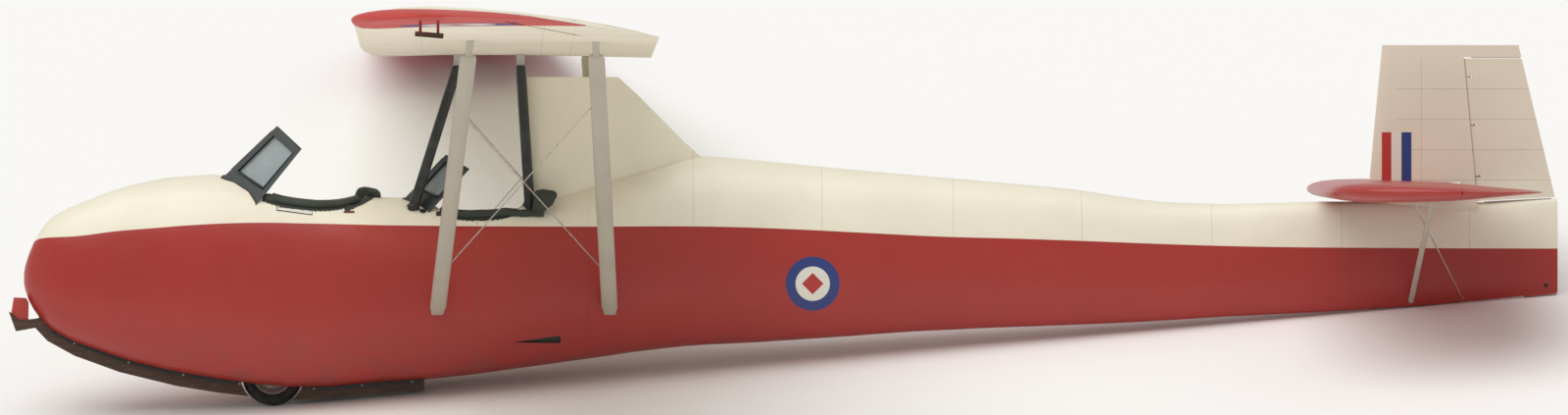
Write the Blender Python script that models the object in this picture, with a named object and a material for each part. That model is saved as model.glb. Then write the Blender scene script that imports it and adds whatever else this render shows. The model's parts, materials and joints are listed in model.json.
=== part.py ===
"""Strut-braced two-seat training glider with open tandem cockpits, standing as it parks.

It is built level, with x aft from the toe of its skid, y to starboard and z up from the lowest point
of its wheel. One empty then sets it down on its wheel, its tail shoe and its starboard tip skid.
"""

import math

import bmesh
import bpy
from mathutils import Matrix, Vector

# Gaps and clearances
SEAT_GAP = 0.0003
PANEL_GAP = 0.0003
RUNNING_GAP = 0.0005
SWING_GAP = 0.006

# Wing
HALF_SPAN = 6.6
ROOT_CHORD = 1.337
TIP_CHORD = 0.78
WING_LEAD = 1.609
WING_HEIGHT = 1.600
DIHEDRAL = math.radians(1.36)
TAPER_START = 3.6
BOW_START = 6.2
BOW_LENGTH = 0.41
WASHOUT = math.radians(1.6)
TWIST_PIVOT = 0.7
WING_TOP = [
    (0.000, 0.036), (0.010, 0.056), (0.035, 0.072), (0.080, 0.085), (0.150, 0.096), (0.250, 0.0995),
    (0.380, 0.094), (0.550, 0.080), (0.700, 0.0615), (0.830, 0.0395), (0.920, 0.021), (1.000, 0.0),
]
WING_UNDER = [
    (1.000, -0.005), (0.800, 0.000), (0.550, 0.005), (0.280, 0.005), (0.100, 0.000), (0.040, 0.005),
    (0.012, 0.019),
]
AILERON_SPAN = (3.72, 6.10)
AILERON_HINGE = 0.76

# Hull outline, as station and height
NOSE_TIP = 0.067
TAIL_END = 7.112
HULL_TOP = [
    (0.067, 0.581), (0.090, 0.692), (0.138, 0.792), (0.203, 0.868), (0.359, 0.940), (0.542, 1.006),
    (0.722, 1.044), (0.925, 1.060), (1.127, 1.044), (1.442, 0.999), (1.708, 0.956), (1.937, 0.945),
    (2.207, 0.954), (2.477, 0.981), (2.747, 1.044), (3.017, 1.107), (3.179, 1.143), (3.422, 1.125),
    (3.782, 1.089), (4.142, 1.057), (4.502, 1.026), (4.862, 0.994), (5.042, 0.967), (5.312, 0.931),
    (5.582, 0.922), (5.942, 0.931), (6.122, 0.936), (6.257, 0.9375), (6.757, 0.930), (7.112, 0.9485),
]
HULL_BOTTOM = [
    (0.067, 0.581), (0.083, 0.501), (0.137, 0.405), (0.227, 0.324), (0.407, 0.252), (0.587, 0.193),
    (0.767, 0.153), (1.037, 0.108), (1.307, 0.081), (1.442, 0.083), (1.667, 0.103), (1.982, 0.124),
    (2.252, 0.158), (2.612, 0.207), (2.972, 0.257), (3.152, 0.274), (3.512, 0.292), (4.232, 0.342),
    (5.132, 0.378), (5.582, 0.405), (6.032, 0.427), (6.482, 0.454), (7.112, 0.517),
]
HULL_HALF_WIDTH = [
    (0.067, 0.000), (0.090, 0.065), (0.137, 0.115), (0.203, 0.165), (0.358, 0.225), (0.542, 0.270),
    (0.812, 0.310), (1.127, 0.332), (1.487, 0.340), (1.937, 0.340), (2.387, 0.328), (2.837, 0.302),
    (3.179, 0.275), (3.692, 0.235), (4.322, 0.190), (4.907, 0.150), (5.582, 0.105), (6.257, 0.062),
    (6.707, 0.036), (7.112, 0.020),
]
HULL_STATIONS = [
    0.0685, 0.074, 0.090, 0.113, 0.138, 0.170, 0.203, 0.280, 0.359, 0.450, 0.560, 0.722, 0.925, 1.127,
    1.300, 1.480, 1.650, 1.708, 1.937, 2.149, 2.320, 2.477, 2.657, 2.850, 3.017, 3.120, 3.179, 3.260, 3.422,
    3.782, 4.142, 4.502, 4.862, 5.042, 5.180, 5.312, 5.582, 6.032, 6.482, 6.807, 7.112,
]
HULL_FULLNESS = 2.5
HULL_SIDES = 32
HULL_WALL = 0.015
FRAME_JOINT = 2.149
REAR_BULKHEAD = 2.657

# Cockpits: front end, rear end, half width and squareness of each opening
FRONT_OPENING = (1.022, 1.650, 0.240, 2.6)
REAR_OPENING = (1.925, 2.415, 0.240, 3.2)
FLOOR_TOP = 0.215
BOARD = 0.012
SEAT_HALF_WIDTH = 0.19
FRONT_SEAT_RISER = 1.385
REAR_SEAT_RISER = 2.130
COAMING_RADIUS = 0.020
REAR_COAMING_END = [(2.455, 0.252), (2.400, 0.248), (2.340, 0.244)]

# Lift struts and tip skids
STRUT_SPAN = 2.7
STRUT_FOOT_HEIGHT = 0.430
TIP_SKID_SPAN = 6.40

# Wheel and skids
WHEEL_CENTRE = Vector((1.208, 0.0, 0.140))
WHEEL_RADIUS = 0.140
TYRE_HALF_WIDTH = 0.044
TYRE_SIDES = 36
AXLE_RADIUS = 0.012
WHEEL_WELL = (1.060, 1.356, 0.054, 0.300)
WHEEL_SPACE = 0.007
SKID_HALF_WIDTH = 0.045

# Tail
FIN_FOOT = 0.900
FIN_TOP = 1.660
RUDDER_TOP = 1.590
RUDDER_FOOT_LINE = ((6.757, 0.9365), (7.103, 0.9550))
TAIL_HEIGHT = 0.984
TAIL_HALF_SPAN = 1.537
TAIL_LEAD = 6.010
TAIL_TRAIL = 6.977
ELEVATOR_HINGE = 6.600
TAIL_HALF_DEPTH = 0.047
TAIL_PROFILE = [
    (0.000, 0.00), (0.012, 0.30), (0.050, 0.58), (0.120, 0.80), (0.240, 0.95), (0.420, 1.00),
    (0.640, 0.97), (0.840, 0.89), (1.000, 0.80),
]
TAIL_ROUNDING_START = 1.12
TAIL_TIP_STATIONS = [1.12, 1.28, 1.40, 1.475, 1.515, 1.535]
RUDDER_HINGE_FOOT = Vector((6.757, 0.0, 0.945))
RUDDER_HINGE_TOP = Vector((6.694, 0.0, 1.597))
RUDDER_TRAIL_FOOT = Vector((7.103, 0.0, 0.945))
RUDDER_TRAIL_TOP = Vector((6.946, 0.0, 1.597))


def clear_scene():
    for item in list(bpy.data.objects):
        bpy.data.objects.remove(item, do_unlink=True)


def finish(name, colour, roughness, metallic=0.0):
    """One Principled material, its colour given as an sRGB hex value."""
    found = bpy.data.materials.new(name)
    found.use_nodes = True
    shader = found.node_tree.nodes["Principled BSDF"]
    channels = [int(colour[i:i + 2], 16) / 255 for i in (0, 2, 4)]
    linear = [c / 12.92 if c <= 0.04045 else ((c + 0.055) / 1.055) ** 2.4 for c in channels]
    shader.inputs["Base Color"].default_value = (*linear, 1.0)
    shader.inputs["Roughness"].default_value = roughness
    shader.inputs["Metallic"].default_value = metallic
    found.diffuse_color = (*linear, 1.0)
    return found


def add_mesh(name, mesh, material):
    item = bpy.data.objects.new(name, mesh)
    bpy.context.scene.collection.objects.link(item)
    mesh.materials.clear()
    mesh.materials.append(material)
    mesh.shade_smooth()
    mesh.set_sharp_from_angle(angle=math.radians(35))
    return item


def from_bmesh(name, shape, material):
    bmesh.ops.recalc_face_normals(shape, faces=shape.faces)
    mesh = bpy.data.meshes.new(name)
    shape.to_mesh(mesh)
    shape.free()
    return add_mesh(name, mesh, material)


def loft(name, rings, material):
    """A closed solid through rings of equal count, capped at both ends."""
    shape = bmesh.new()
    loops = [[shape.verts.new(point) for point in ring] for ring in rings]
    count = len(rings[0])
    for first, second in zip(loops, loops[1:]):
        for i in range(count):
            j = (i + 1) % count
            shape.faces.new((first[i], first[j], second[j]))
            shape.faces.new((first[i], second[j], second[i]))
    shape.faces.new(loops[0])
    shape.faces.new(loops[-1])
    return from_bmesh(name, shape, material)


def side_slab(name, outline, half_width, material, centre=0.0):
    """A side-view outline of (x, z) points, extruded across the glider."""
    rings = [[(x, centre + side * half_width, z) for x, z in outline] for side in (-1, 1)]
    return loft(name, rings, material)


def block(name, low, high, material):
    outline = [(low[0], low[2]), (high[0], low[2]), (high[0], high[2]), (low[0], high[2])]
    return side_slab(name, outline, (high[1] - low[1]) / 2, material, (high[1] + low[1]) / 2)


def lathe(name, profile, centre, axis, material, steps=32):
    """Turns a closed profile of (radius, distance along the axis) points about the axis."""
    turn = axis.to_track_quat("Z", "Y").to_matrix().to_4x4()
    place = Matrix.Translation(centre) @ turn
    shape = bmesh.new()
    loops = []
    for k in range(steps):
        angle = 2 * math.pi * k / steps
        loops.append([
            shape.verts.new(place @ Vector((r * math.cos(angle), r * math.sin(angle), along)))
            for r, along in profile
        ])
    for k in range(steps):
        first, second = loops[k], loops[(k + 1) % steps]
        for i in range(len(profile)):
            j = (i + 1) % len(profile)
            shape.faces.new((first[i], first[j], second[j], second[i]))
    return from_bmesh(name, shape, material)


def oval_ring(centre, along, wide, half_wide, half_thin, sides):
    """A ring of points around centre, across the direction along, widest towards wide."""
    along = along.normalized()
    wide = (wide - wide.dot(along) * along).normalized()
    thin = along.cross(wide)
    angles = [2 * math.pi * k / sides for k in range(sides)]
    return [centre + math.cos(a) * half_wide * wide + math.sin(a) * half_thin * thin for a in angles]


def rod(name, stops, material, sides=12, wide=Vector((1, 0, 0))):
    """A straight member through stops of (point, half width, half thickness)."""
    along = stops[-1][0] - stops[0][0]
    rings = [oval_ring(point, along, wide, a, b, sides) for point, a, b in stops]
    return loft(name, rings, material)


def swept_tube(name, path, radius, material, sides=8):
    """A round tube along a path of points, with flat ends."""
    rings = []
    for i, point in enumerate(path):
        ahead = path[min(i + 1, len(path) - 1)] - path[max(i - 1, 0)]
        rings.append(oval_ring(point, ahead, Vector((0, 0, 1)), radius, radius, sides))
    return loft(name, rings, material)


def combine(target, tools, operation="DIFFERENCE"):
    """Cuts the tools out of the target, or joins or keeps them, and removes the tools."""
    for tool in tools:
        modifier = target.modifiers.new("shape", "BOOLEAN")
        modifier.operation = operation
        modifier.solver = "EXACT"
        modifier.object = tool
    settle(target)
    for tool in tools:
        bpy.data.objects.remove(tool, do_unlink=True)
    return target


def settle(target):
    """Applies the modifiers of an object."""
    bpy.context.view_layer.update()
    graph = bpy.context.evaluated_depsgraph_get()
    mesh = bpy.data.meshes.new_from_object(target.evaluated_get(graph))
    target.modifiers.clear()
    target.data = mesh
    mesh.shade_smooth()
    mesh.set_sharp_from_angle(angle=math.radians(35))
    return target


def duplicate(source, shift=(0, 0, 0)):
    copy = bpy.data.objects.new(source.name + "_copy", source.data.copy())
    bpy.context.scene.collection.objects.link(copy)
    copy.data.transform(Matrix.Translation(shift))
    return copy


def blunt_curve(points):
    """A smooth curve through (x, value) points that starts upright, as a blunt nose does."""
    start = points[0][0]
    knots = [math.sqrt(x - start) for x, _ in points]
    values = [value for _, value in points]
    steps = [b - a for a, b in zip(knots, knots[1:])]
    rises = [(b - a) / step for a, b, step in zip(values, values[1:], steps)]
    slopes = [rises[0]]
    for before, after in zip(rises, rises[1:]):
        slopes.append(0.0 if before * after <= 0 else 2 * before * after / (before + after))
    slopes.append(rises[-1])

    def at(x):
        place = min(math.sqrt(max(x - start, 0.0)), knots[-1])
        i = max(k for k in range(len(steps)) if knots[k] <= place)
        t = (place - knots[i]) / steps[i]
        bend = t * t * (3 - 2 * t)
        lead = t * (1 - t) ** 2 * steps[i] * slopes[i]
        trail = t * t * (t - 1) * steps[i] * slopes[i + 1]
        return values[i] * (1 - bend) + values[i + 1] * bend + lead + trail

    return at


hull_top = blunt_curve(HULL_TOP)
hull_bottom = blunt_curve(HULL_BOTTOM)
hull_half_width = blunt_curve(HULL_HALF_WIDTH)


def hull_ring(x, grow):
    top = hull_top(x) + grow
    bottom = hull_bottom(x) - grow
    half = hull_half_width(x) + grow
    middle, depth = (top + bottom) / 2, (top - bottom) / 2
    power = 2 / HULL_FULLNESS
    ring = []
    for k in range(HULL_SIDES):
        angle = 2 * math.pi * k / HULL_SIDES
        across, up = math.sin(angle), math.cos(angle)
        y = math.copysign(abs(across) ** power, across) * half
        z = math.copysign(abs(up) ** power, up) * depth + middle
        ring.append((x, y, z))
    return ring


def hull_solid(name, start, end, grow, material=None):
    """The hull between two stations, grown outwards by a distance."""
    inner = [x for x in HULL_STATIONS if start + 0.004 < x < end - 0.004]
    stations = [start, *inner, end]
    return loft(name, [hull_ring(x, grow) for x in stations], material)


def hull_surface_height(x, y, grow=0.0):
    """The height of the hull's upper surface at a place in plan."""
    top, bottom = hull_top(x) + grow, hull_bottom(x) - grow
    ratio = min(abs(y) / (hull_half_width(x) + grow), 1.0)
    return (top + bottom) / 2 + (top - bottom) / 2 * (1 - ratio ** HULL_FULLNESS) ** (1 / HULL_FULLNESS)


def hull_cutter(start=NOSE_TIP + 0.0015, end=TAIL_END, grow=SEAT_GAP):
    return hull_solid("hull_cutter", start, end, grow)


def opening_outline(opening, count, grow=0.0):
    """The plan outline of a cockpit opening, counted round from its rear centre to starboard."""
    front, rear, half_width, squareness = opening
    centre, half_length = (front + rear) / 2, (rear - front) / 2 + grow
    power = 2 / squareness
    points = []
    for k in range(count):
        angle = 2 * math.pi * k / count
        across, back = math.sin(angle), math.cos(angle)
        x = centre + math.copysign(abs(back) ** power, back) * half_length
        y = math.copysign(abs(across) ** power, across) * (half_width + grow)
        points.append((x, y))
    return points


def opening_cutter(opening, grow=0.0):
    outline = opening_outline(opening, 32, grow)
    return loft("opening_cutter", [[(x, y, z) for x, y in outline] for z in (0.55, 1.30)], None)


# Wing sections

def wing_chord(span):
    if span <= TAPER_START:
        return ROOT_CHORD
    share = (span - TAPER_START) / (HALF_SPAN - TAPER_START)
    return ROOT_CHORD + (TIP_CHORD - ROOT_CHORD) * share


def wing_thinning(span):
    return 1.0 - 0.25 * max(span - TAPER_START, 0.0) / (BOW_START - TAPER_START)


def wing_point(side, span, share, rise):
    """A point of the wing, by its share of the chord and its height in chords."""
    chord = wing_chord(span)
    lead = WING_LEAD
    bow = 1.0
    if span > BOW_START:
        bow = math.sqrt(max(1 - ((span - BOW_START) / BOW_LENGTH) ** 2, 0.0))
        lead += 0.45 * (1 - bow) * chord
    twist = WASHOUT * min(max(span - TAPER_START, 0.0) / (BOW_START - TAPER_START), 1.0)
    x = lead + share * chord * bow
    z = WING_HEIGHT + span * math.tan(DIHEDRAL) + (rise - 0.03) * chord * wing_thinning(span) * bow
    z += 0.03 * chord * wing_thinning(span)
    z += (x - WING_LEAD - TWIST_PIVOT * chord) * math.sin(twist)
    return Vector((x, side * span, z))


def wing_under_height(span, x):
    """The height of the wing's underside at a station."""
    share = (x - WING_LEAD) / wing_chord(span)
    for (far, far_rise), (near, near_rise) in zip(WING_UNDER, WING_UNDER[1:]):
        if near <= share <= far:
            rise = near_rise + (far_rise - near_rise) * (share - near) / (far - near)
            return wing_point(1, span, share, rise).z
    return wing_point(1, span, share, 0.0).z


def wing_solid(name, side, material):
    spans = [PANEL_GAP / 2, 1.8, TAPER_START, 4.4, 5.3, BOW_START, 6.34, 6.46, 6.54, 6.585, HALF_SPAN]
    rings = [[wing_point(side, span, *at) for at in WING_TOP + WING_UNDER] for span in spans]
    return loft(name, rings, material)


# Hinged surfaces: a round nose on the hinge line and straight sides to the trailing edge

class HingeLine:
    """A hinge line with the trailing edge that belongs to it."""

    def __init__(self, start, end, radius_start, radius_end, trail_start, trail_end):
        self.start, self.end = start, end
        self.radii = (radius_start, radius_end)
        self.trail_start, self.trail_end = trail_start, trail_end
        self.axis = (end - start).normalized()
        self.length = (end - start).length

    def frame(self, along):
        """Centre, nose radius, aft and upright directions, and chord, at a distance from the start."""
        centre = self.start + self.axis * along
        share = along / self.length
        radius = self.radii[0] + (self.radii[1] - self.radii[0]) * share
        run = self.trail_end - self.trail_start
        edge = self.trail_start + run * ((centre - self.trail_start).dot(self.axis) / run.dot(self.axis))
        aft = (edge - centre).normalized()
        return centre, radius, aft, self.axis.cross(aft).normalized(), (edge - centre).length

    def ring(self, along, shrink=1.0, edge_half=0.0025, arc_steps=8):
        centre, radius, aft, up, chord = self.frame(along)
        points = []
        for k in range(arc_steps + 1):
            angle = math.radians(84 + 192 * k / arc_steps)
            points.append(centre + radius * shrink * (math.cos(angle) * aft + math.sin(angle) * up))
        points.append(centre + chord * shrink * aft - edge_half * up)
        points.append(centre + chord * shrink * aft + edge_half * up)
        return points

    def bay_ring(self, along, shrink=1.0, arc_steps=8):
        centre, radius, aft, up, chord = self.frame(along)
        wide = radius * shrink + SWING_GAP
        points = []
        for k in range(arc_steps + 1):
            angle = math.pi / 2 + math.pi * k / arc_steps
            points.append(centre + wide * (math.cos(angle) * aft + math.sin(angle) * up))
        points.append(centre + (chord + 0.15) * aft - (wide + 0.02) * up)
        points.append(centre + (chord + 0.15) * aft + (wide + 0.02) * up)
        return points

    def lug(self, along, reach, half_thick=0.004):
        """A hinge plate with a round end on the hinge line, reaching forward into the fixed surface."""
        centre, radius, aft, up, _ = self.frame(along)
        end = 0.55 * radius
        outline = [centre - reach * aft - end * up]
        for k in range(7):
            angle = math.radians(-90 + 30 * k)
            outline.append(centre + end * (math.cos(angle) * aft + math.sin(angle) * up))
        outline.append(centre - reach * aft + end * up)
        rings = [[point + side * half_thick * self.axis for point in outline] for side in (-1, 1)]
        return loft("lug", rings, None)

    def notch(self, along, half_thick=0.004):
        """The slot in a moving surface that a hinge plate stands in."""
        centre, radius, aft, up, _ = self.frame(along)
        back, front, tall = 0.55 * radius + SWING_GAP, radius + 0.02, radius + 0.03
        corners = [(-front, -tall), (back, -tall), (back, tall), (-front, tall)]
        half = half_thick + RUNNING_GAP
        rings = [
            [centre + u * aft + w * up + side * half * self.axis for u, w in corners] for side in (-1, 1)
        ]
        return loft("notch", rings, None)


def set_origin(item, point):
    """Moves an object's origin to a point on its joint's axis."""
    item.data.transform(Matrix.Translation(-point))
    item.location = point


def build_wheel(paint):
    across = Vector((0, 1, 0))
    bead, crown = 0.090, WHEEL_RADIUS
    tyre = [
        (bead, -0.030), (bead + 0.010, -0.039), (0.115, -TYRE_HALF_WIDTH), (0.129, -0.034),
        (crown - 0.002, -0.016), (crown, 0.0), (crown - 0.002, 0.016), (0.129, 0.034),
        (0.115, TYRE_HALF_WIDTH), (bead + 0.010, 0.039), (bead, 0.030),
    ]
    nodes = [lathe("wheel_tyre", tyre, WHEEL_CENTRE, across, paint["tyre"], TYRE_SIDES)]
    bore = AXLE_RADIUS + RUNNING_GAP
    rim = bead * math.cos(math.pi / TYRE_SIDES) - SEAT_GAP
    hub = [
        (bore, -0.046), (0.024, -0.046), (0.028, -0.026), (0.064, -0.018), (rim - 0.006, -0.032),
        (rim, -0.032), (rim, 0.032), (rim - 0.006, 0.032), (0.064, 0.018), (0.028, 0.026),
        (0.024, 0.046), (bore, 0.046),
    ]
    nodes.append(lathe("wheel_hub", hub, WHEEL_CENTRE, across, paint["hub"], 24))
    for item in nodes:
        set_origin(item, WHEEL_CENTRE)
    reach = WHEEL_WELL[2] + 0.020
    stops = [(WHEEL_CENTRE + side * reach * across, AXLE_RADIUS, AXLE_RADIUS) for side in (-1, 1)]
    nodes.append(rod("wheel_axle", stops, paint["steel"], 16))
    return nodes


def build_wheel_well(paint):
    """Two side plates, two end plates and a lid, open below, standing on the hull's floor."""
    front, rear, half, top = WHEEL_WELL
    wall = 0.008
    well = block("wheel_well", (front - wall, -half - wall, 0.02), (rear + wall, half + wall, top + wall),
                 paint["ply"])
    inside = block("inside", (front, -half, 0.0), (rear, half, top), None)
    hole_stops = [
        (WHEEL_CENTRE + Vector((0, side * 0.2, 0)), AXLE_RADIUS + SEAT_GAP, AXLE_RADIUS + SEAT_GAP)
        for side in (-1, 1)
    ]
    hole = rod("hole", hole_stops, None, 16)
    combine(well, [inside, hole])
    lining = hull_solid("lining", 0.450, 2.657, -HULL_WALL - SEAT_GAP)
    return combine(well, [lining], "INTERSECT")


def build_hull(paint):
    start = HULL_STATIONS[0]
    nose = hull_solid("fuselage_nose_shell", start, FRAME_JOINT - PANEL_GAP / 2, 0.0, paint["skin"])
    middle = hull_solid("fuselage_centre_shell", FRAME_JOINT + PANEL_GAP / 2,
                        REAR_BULKHEAD - PANEL_GAP / 2, 0.0, paint["skin"])
    rear = hull_solid("fuselage_rear", REAR_BULKHEAD + PANEL_GAP / 2, TAIL_END, 0.0, paint["skin"])
    well_front, well_rear, well_half, _ = WHEEL_WELL
    slot = block("slot", (well_front, -well_half, -0.1), (well_rear, well_half, 0.2), None)
    combine(nose, [
        hull_solid("inside", start + 0.020, 2.320, -HULL_WALL), opening_cutter(FRONT_OPENING),
        opening_cutter(REAR_OPENING), slot,
    ])
    combine(middle, [hull_solid("inside", 1.937, 2.850, -HULL_WALL), opening_cutter(REAR_OPENING)])
    return [nose, middle, rear]


def wheel_space():
    """The round space that the skids' ends leave for the tyre."""
    stops = [
        (WHEEL_CENTRE + Vector((0, side * 0.1, 0)), WHEEL_RADIUS + WHEEL_SPACE, WHEEL_RADIUS + WHEEL_SPACE)
        for side in (-1, 1)
    ]
    return rod("wheel_space", stops, None, 64)


def build_skids(paint):
    toe = [
        (0.000, 0.430), (0.032, 0.340), (0.121, 0.356), (0.177, 0.296), (0.301, 0.228), (0.508, 0.153),
        (0.766, 0.090), (0.950, 0.060), (1.107, 0.042), (1.107, 0.160), (0.766, 0.210), (0.508, 0.260),
        (0.301, 0.340), (0.180, 0.420), (0.126, 0.398), (0.053, 0.390),
    ]
    front = side_slab("nose_skid", toe, SKID_HALF_WIDTH, paint["skid_wood"])
    combine(front, [hull_cutter(), wheel_space()])
    heel = [(1.300, 0.027), (1.390, 0.029), (1.487, 0.036), (1.667, 0.054), (1.906, 0.072), (1.906, 0.190),
            (1.300, 0.160)]
    rear = side_slab("rear_skid", heel, SKID_HALF_WIDTH, paint["skid_wood"])
    combine(rear, [hull_cutter(), wheel_space()])
    pad = [(0.011, 0.424), (0.053, 0.384), (0.088, 0.388), (0.089, 0.470), (0.078, 0.492), (0.022, 0.495)]
    bumper = side_slab("nose_block", pad, 0.040, paint["red_rubber"])
    combine(bumper, [hull_cutter(), duplicate(front, (0, 0, SEAT_GAP))])
    return [front, rear, bumper]


def build_interior(paint):
    lining_grow = -HULL_WALL - SEAT_GAP
    front, rear, half, top = WHEEL_WELL
    wall = 0.008 + SEAT_GAP
    floor = block("cockpit_floor", (0.50, -0.4, FLOOR_TOP - BOARD), (2.60, 0.4, FLOOR_TOP), paint["ply"])
    combine(floor, [hull_solid("lining", 0.280, 2.850, lining_grow)], "INTERSECT")
    combine(floor, [block("well", (front - wall, -half - wall, 0), (rear + wall, half + wall, 0.4), None)])
    nodes = [floor]
    for name, riser in (("seat_front", FRONT_SEAT_RISER), ("seat_rear", REAR_SEAT_RISER)):
        outline = [
            (riser, FLOOR_TOP + SEAT_GAP), (riser + BOARD, FLOOR_TOP + SEAT_GAP), (riser + BOARD, 0.323),
            (riser + 0.235, 0.300), (riser + 0.315, 0.800), (riser + 0.303, 0.802),
            (riser + 0.225, 0.3125), (riser, 0.336),
        ]
        nodes.append(side_slab(name, outline, SEAT_HALF_WIDTH, paint["ply"]))
    for name, x, foot in (("instrument_panel_front", 0.985, 0.74), ("instrument_panel_rear", 1.880, 0.70)):
        panel = block(name, (x, -0.4, foot), (x + BOARD, 0.4, 1.1), paint["panel"])
        nodes.append(combine(panel, [hull_solid("lining", 0.280, 2.850, lining_grow)], "INTERSECT"))
    for name, foot, grip in (
        ("control_stick_front", Vector((1.290, 0, top + 0.008 + SEAT_GAP)), Vector((1.235, 0, 0.640))),
        ("control_stick_rear", Vector((2.010, 0, FLOOR_TOP + SEAT_GAP)), Vector((1.985, 0, 0.640))),
    ):
        rise = grip - foot
        stops = [
            (foot, 0.024, 0.024), (foot + 0.05 * rise, 0.024, 0.024), (foot + 0.08 * rise, 0.011, 0.011),
            (foot + 0.72 * rise, 0.011, 0.011), (foot + 0.74 * rise, 0.016, 0.016), (grip, 0.016, 0.016),
        ]
        stick = rod(name, stops, paint["dark_steel"], 10)
        level_foot(stick, foot.z)
        nodes.append(stick)
    for name, x in (("rudder_bar_front", 0.800), ("rudder_bar_rear", 1.790)):
        bar = block(name, (x - 0.014, -0.160, 0.290), (x + 0.014, 0.160, 0.312), paint["dark_steel"])
        stops = [(Vector((x, 0, z)), 0.018, 0.018) for z in (FLOOR_TOP + SEAT_GAP, 0.301)]
        nodes.append(combine(bar, [rod("post", stops, None, 12)], "UNION"))
    return nodes


def level_foot(item, height):
    """Trims an object's foot to a level plane."""
    return combine(item, [block("below", (0, -1, height - 0.5), (8, 1, height), None)])


def coaming_path(opening, first, last, side, start=(), count=18):
    """Points along one side of an opening's rim, between two shares of the way to the front."""
    outline = opening_outline(opening, 240)[:121]
    shares = [first + (last - first) * k / count for k in range(count + 1)]
    plan = [*start, *(outline[round(share * 120)] for share in shares)]
    lift = 0.3 * COAMING_RADIUS
    return [Vector((x, side * y, hull_surface_height(x, y) + lift)) for x, y in plan]


def build_cockpit_trim(paint):
    nodes = []
    for side, hand in ((-1, "port"), (1, "starboard")):
        path = coaming_path(FRONT_OPENING, 0.20, 0.605, side)
        roll = swept_tube("coaming_front_" + hand, path, COAMING_RADIUS, paint["leather"])
        nodes.append(combine(roll, [hull_cutter(0.722, 2.149)]))
        path = coaming_path(REAR_OPENING, 0.42, 0.69, side, REAR_COAMING_END)
        roll = swept_tube("coaming_rear_" + hand, path, COAMING_RADIUS, paint["leather"])
        scroll = [
            (2.400, 0.900), (2.412, 0.985), (2.446, 0.994), (2.506, 0.985), (2.516, 0.966),
            (2.493, 0.921), (2.450, 0.890),
        ]
        pad = side_slab("pad", scroll, 0.026, None, side * 0.262)
        combine(roll, [pad], "UNION")
        nodes.append(combine(roll, [hull_cutter(1.708, 2.850)]))
    outline = [
        (1.584, 0.905), (1.584, 0.938), (1.602, 0.997), (1.627, 0.999), (1.685, 0.988), (1.705, 0.978),
        (1.709, 0.957), (1.700, 0.930), (1.660, 0.905),
    ]
    rest = side_slab("headrest_front", outline, 0.085, paint["leather"])
    rim = combine(hull_cutter(1.127, 2.149), [opening_cutter(FRONT_OPENING, -SEAT_GAP)])
    nodes.append(combine(rest, [rim]))
    return nodes


def screen_line(base_front, base_side, half_front, half_side, shrink):
    """The plan of a three-pane windscreen: points from port to starboard, set inwards by shrink."""
    front_x, side_x = base_front[0] + shrink, base_side[0]
    return [
        (side_x, -half_side + shrink), (front_x, -half_front + 0.6 * shrink),
        (front_x, half_front - 0.6 * shrink), (side_x, half_side - shrink),
    ]


def screen_point(screen, x, y, share):
    """A point above the screen's base: its sides lean back less than its front, and a little inwards."""
    base_front, base_side, half_front, half_side, (front_lean, side_lean) = screen
    fall = (x - base_front[0]) / (base_side[0] - base_front[0])
    z = base_front[1] + (base_side[1] - base_front[1]) * fall
    lean = [a + (b - a) * fall for a, b in zip(front_lean, side_lean)]
    hand = 1 if y > 0 else -1
    return (x + share * lean[0], y - hand * share * lean[1], z + share * lean[2])


def screen_sheet(name, screen, inset, thick, low, high, material):
    """A folded three-pane sheet leaning back along the screen's slope."""
    base_front, base_side, half_front, half_side, _ = screen
    outer = screen_line(base_front, base_side, half_front, half_side, inset)
    inner = screen_line(base_front, base_side, half_front, half_side, inset + thick)
    plan = outer + inner[::-1]
    rings = []
    for share in (low, high):
        rings.append([screen_point(screen, x, y, share) for x, y in plan])
    return loft(name, rings, material)


def screen_window(screen, first, second, low, high):
    """A cutter for one pane's window between two plan points of the screen."""
    base_front, base_side, half_front, half_side, _ = screen
    line = screen_line(base_front, base_side, half_front, half_side, 0.0)
    a, b = Vector(line[first]), Vector(line[second])
    run = (b - a).normalized()
    out = Vector((run.y, -run.x))
    rings = []
    for share in (low, high):
        ring = []
        for point, push in (
            (a + run * 0.030, 0.05), (b - run * 0.030, 0.05), (b - run * 0.030, -0.05),
            (a + run * 0.030, -0.05),
        ):
            x, y, z = screen_point(screen, point.x, point.y, share)
            ring.append((x + out.x * push, y + out.y * push, z))
        rings.append(ring)
    return loft("window", rings, None)


def build_windscreens(paint):
    nodes = []
    for name, base_front, base_side, lean, halves in (
        ("front", (0.990, 1.053), (1.160, 0.950), ((0.240, 0, 0.228), (0.181, 0.0285, 0.225)),
         (0.110, 0.252)),
        ("rear", (1.840, 0.975), (1.965, 0.925), ((0.165, 0, 0.175), (0.147, 0.0014, 0.158)),
         (0.090, 0.215)),
    ):
        screen = (base_front, base_side, *halves, lean)
        frame = screen_sheet("windscreen_frame_" + name, screen, 0.0, 0.012, -0.45, 1.0, paint["frame"])
        windows = [screen_window(screen, a, a + 1, 0.16, 0.87) for a in range(3)]
        combine(frame, windows)
        nodes.append(combine(frame, [hull_cutter(0.560, 2.657)]))
        glass = screen_sheet("windscreen_glass_" + name, screen, 0.0126, 0.004, 0.10, 0.95, paint["glass"])
        nodes.append(combine(glass, [hull_cutter(0.560, 2.657)]))
    return nodes


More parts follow.
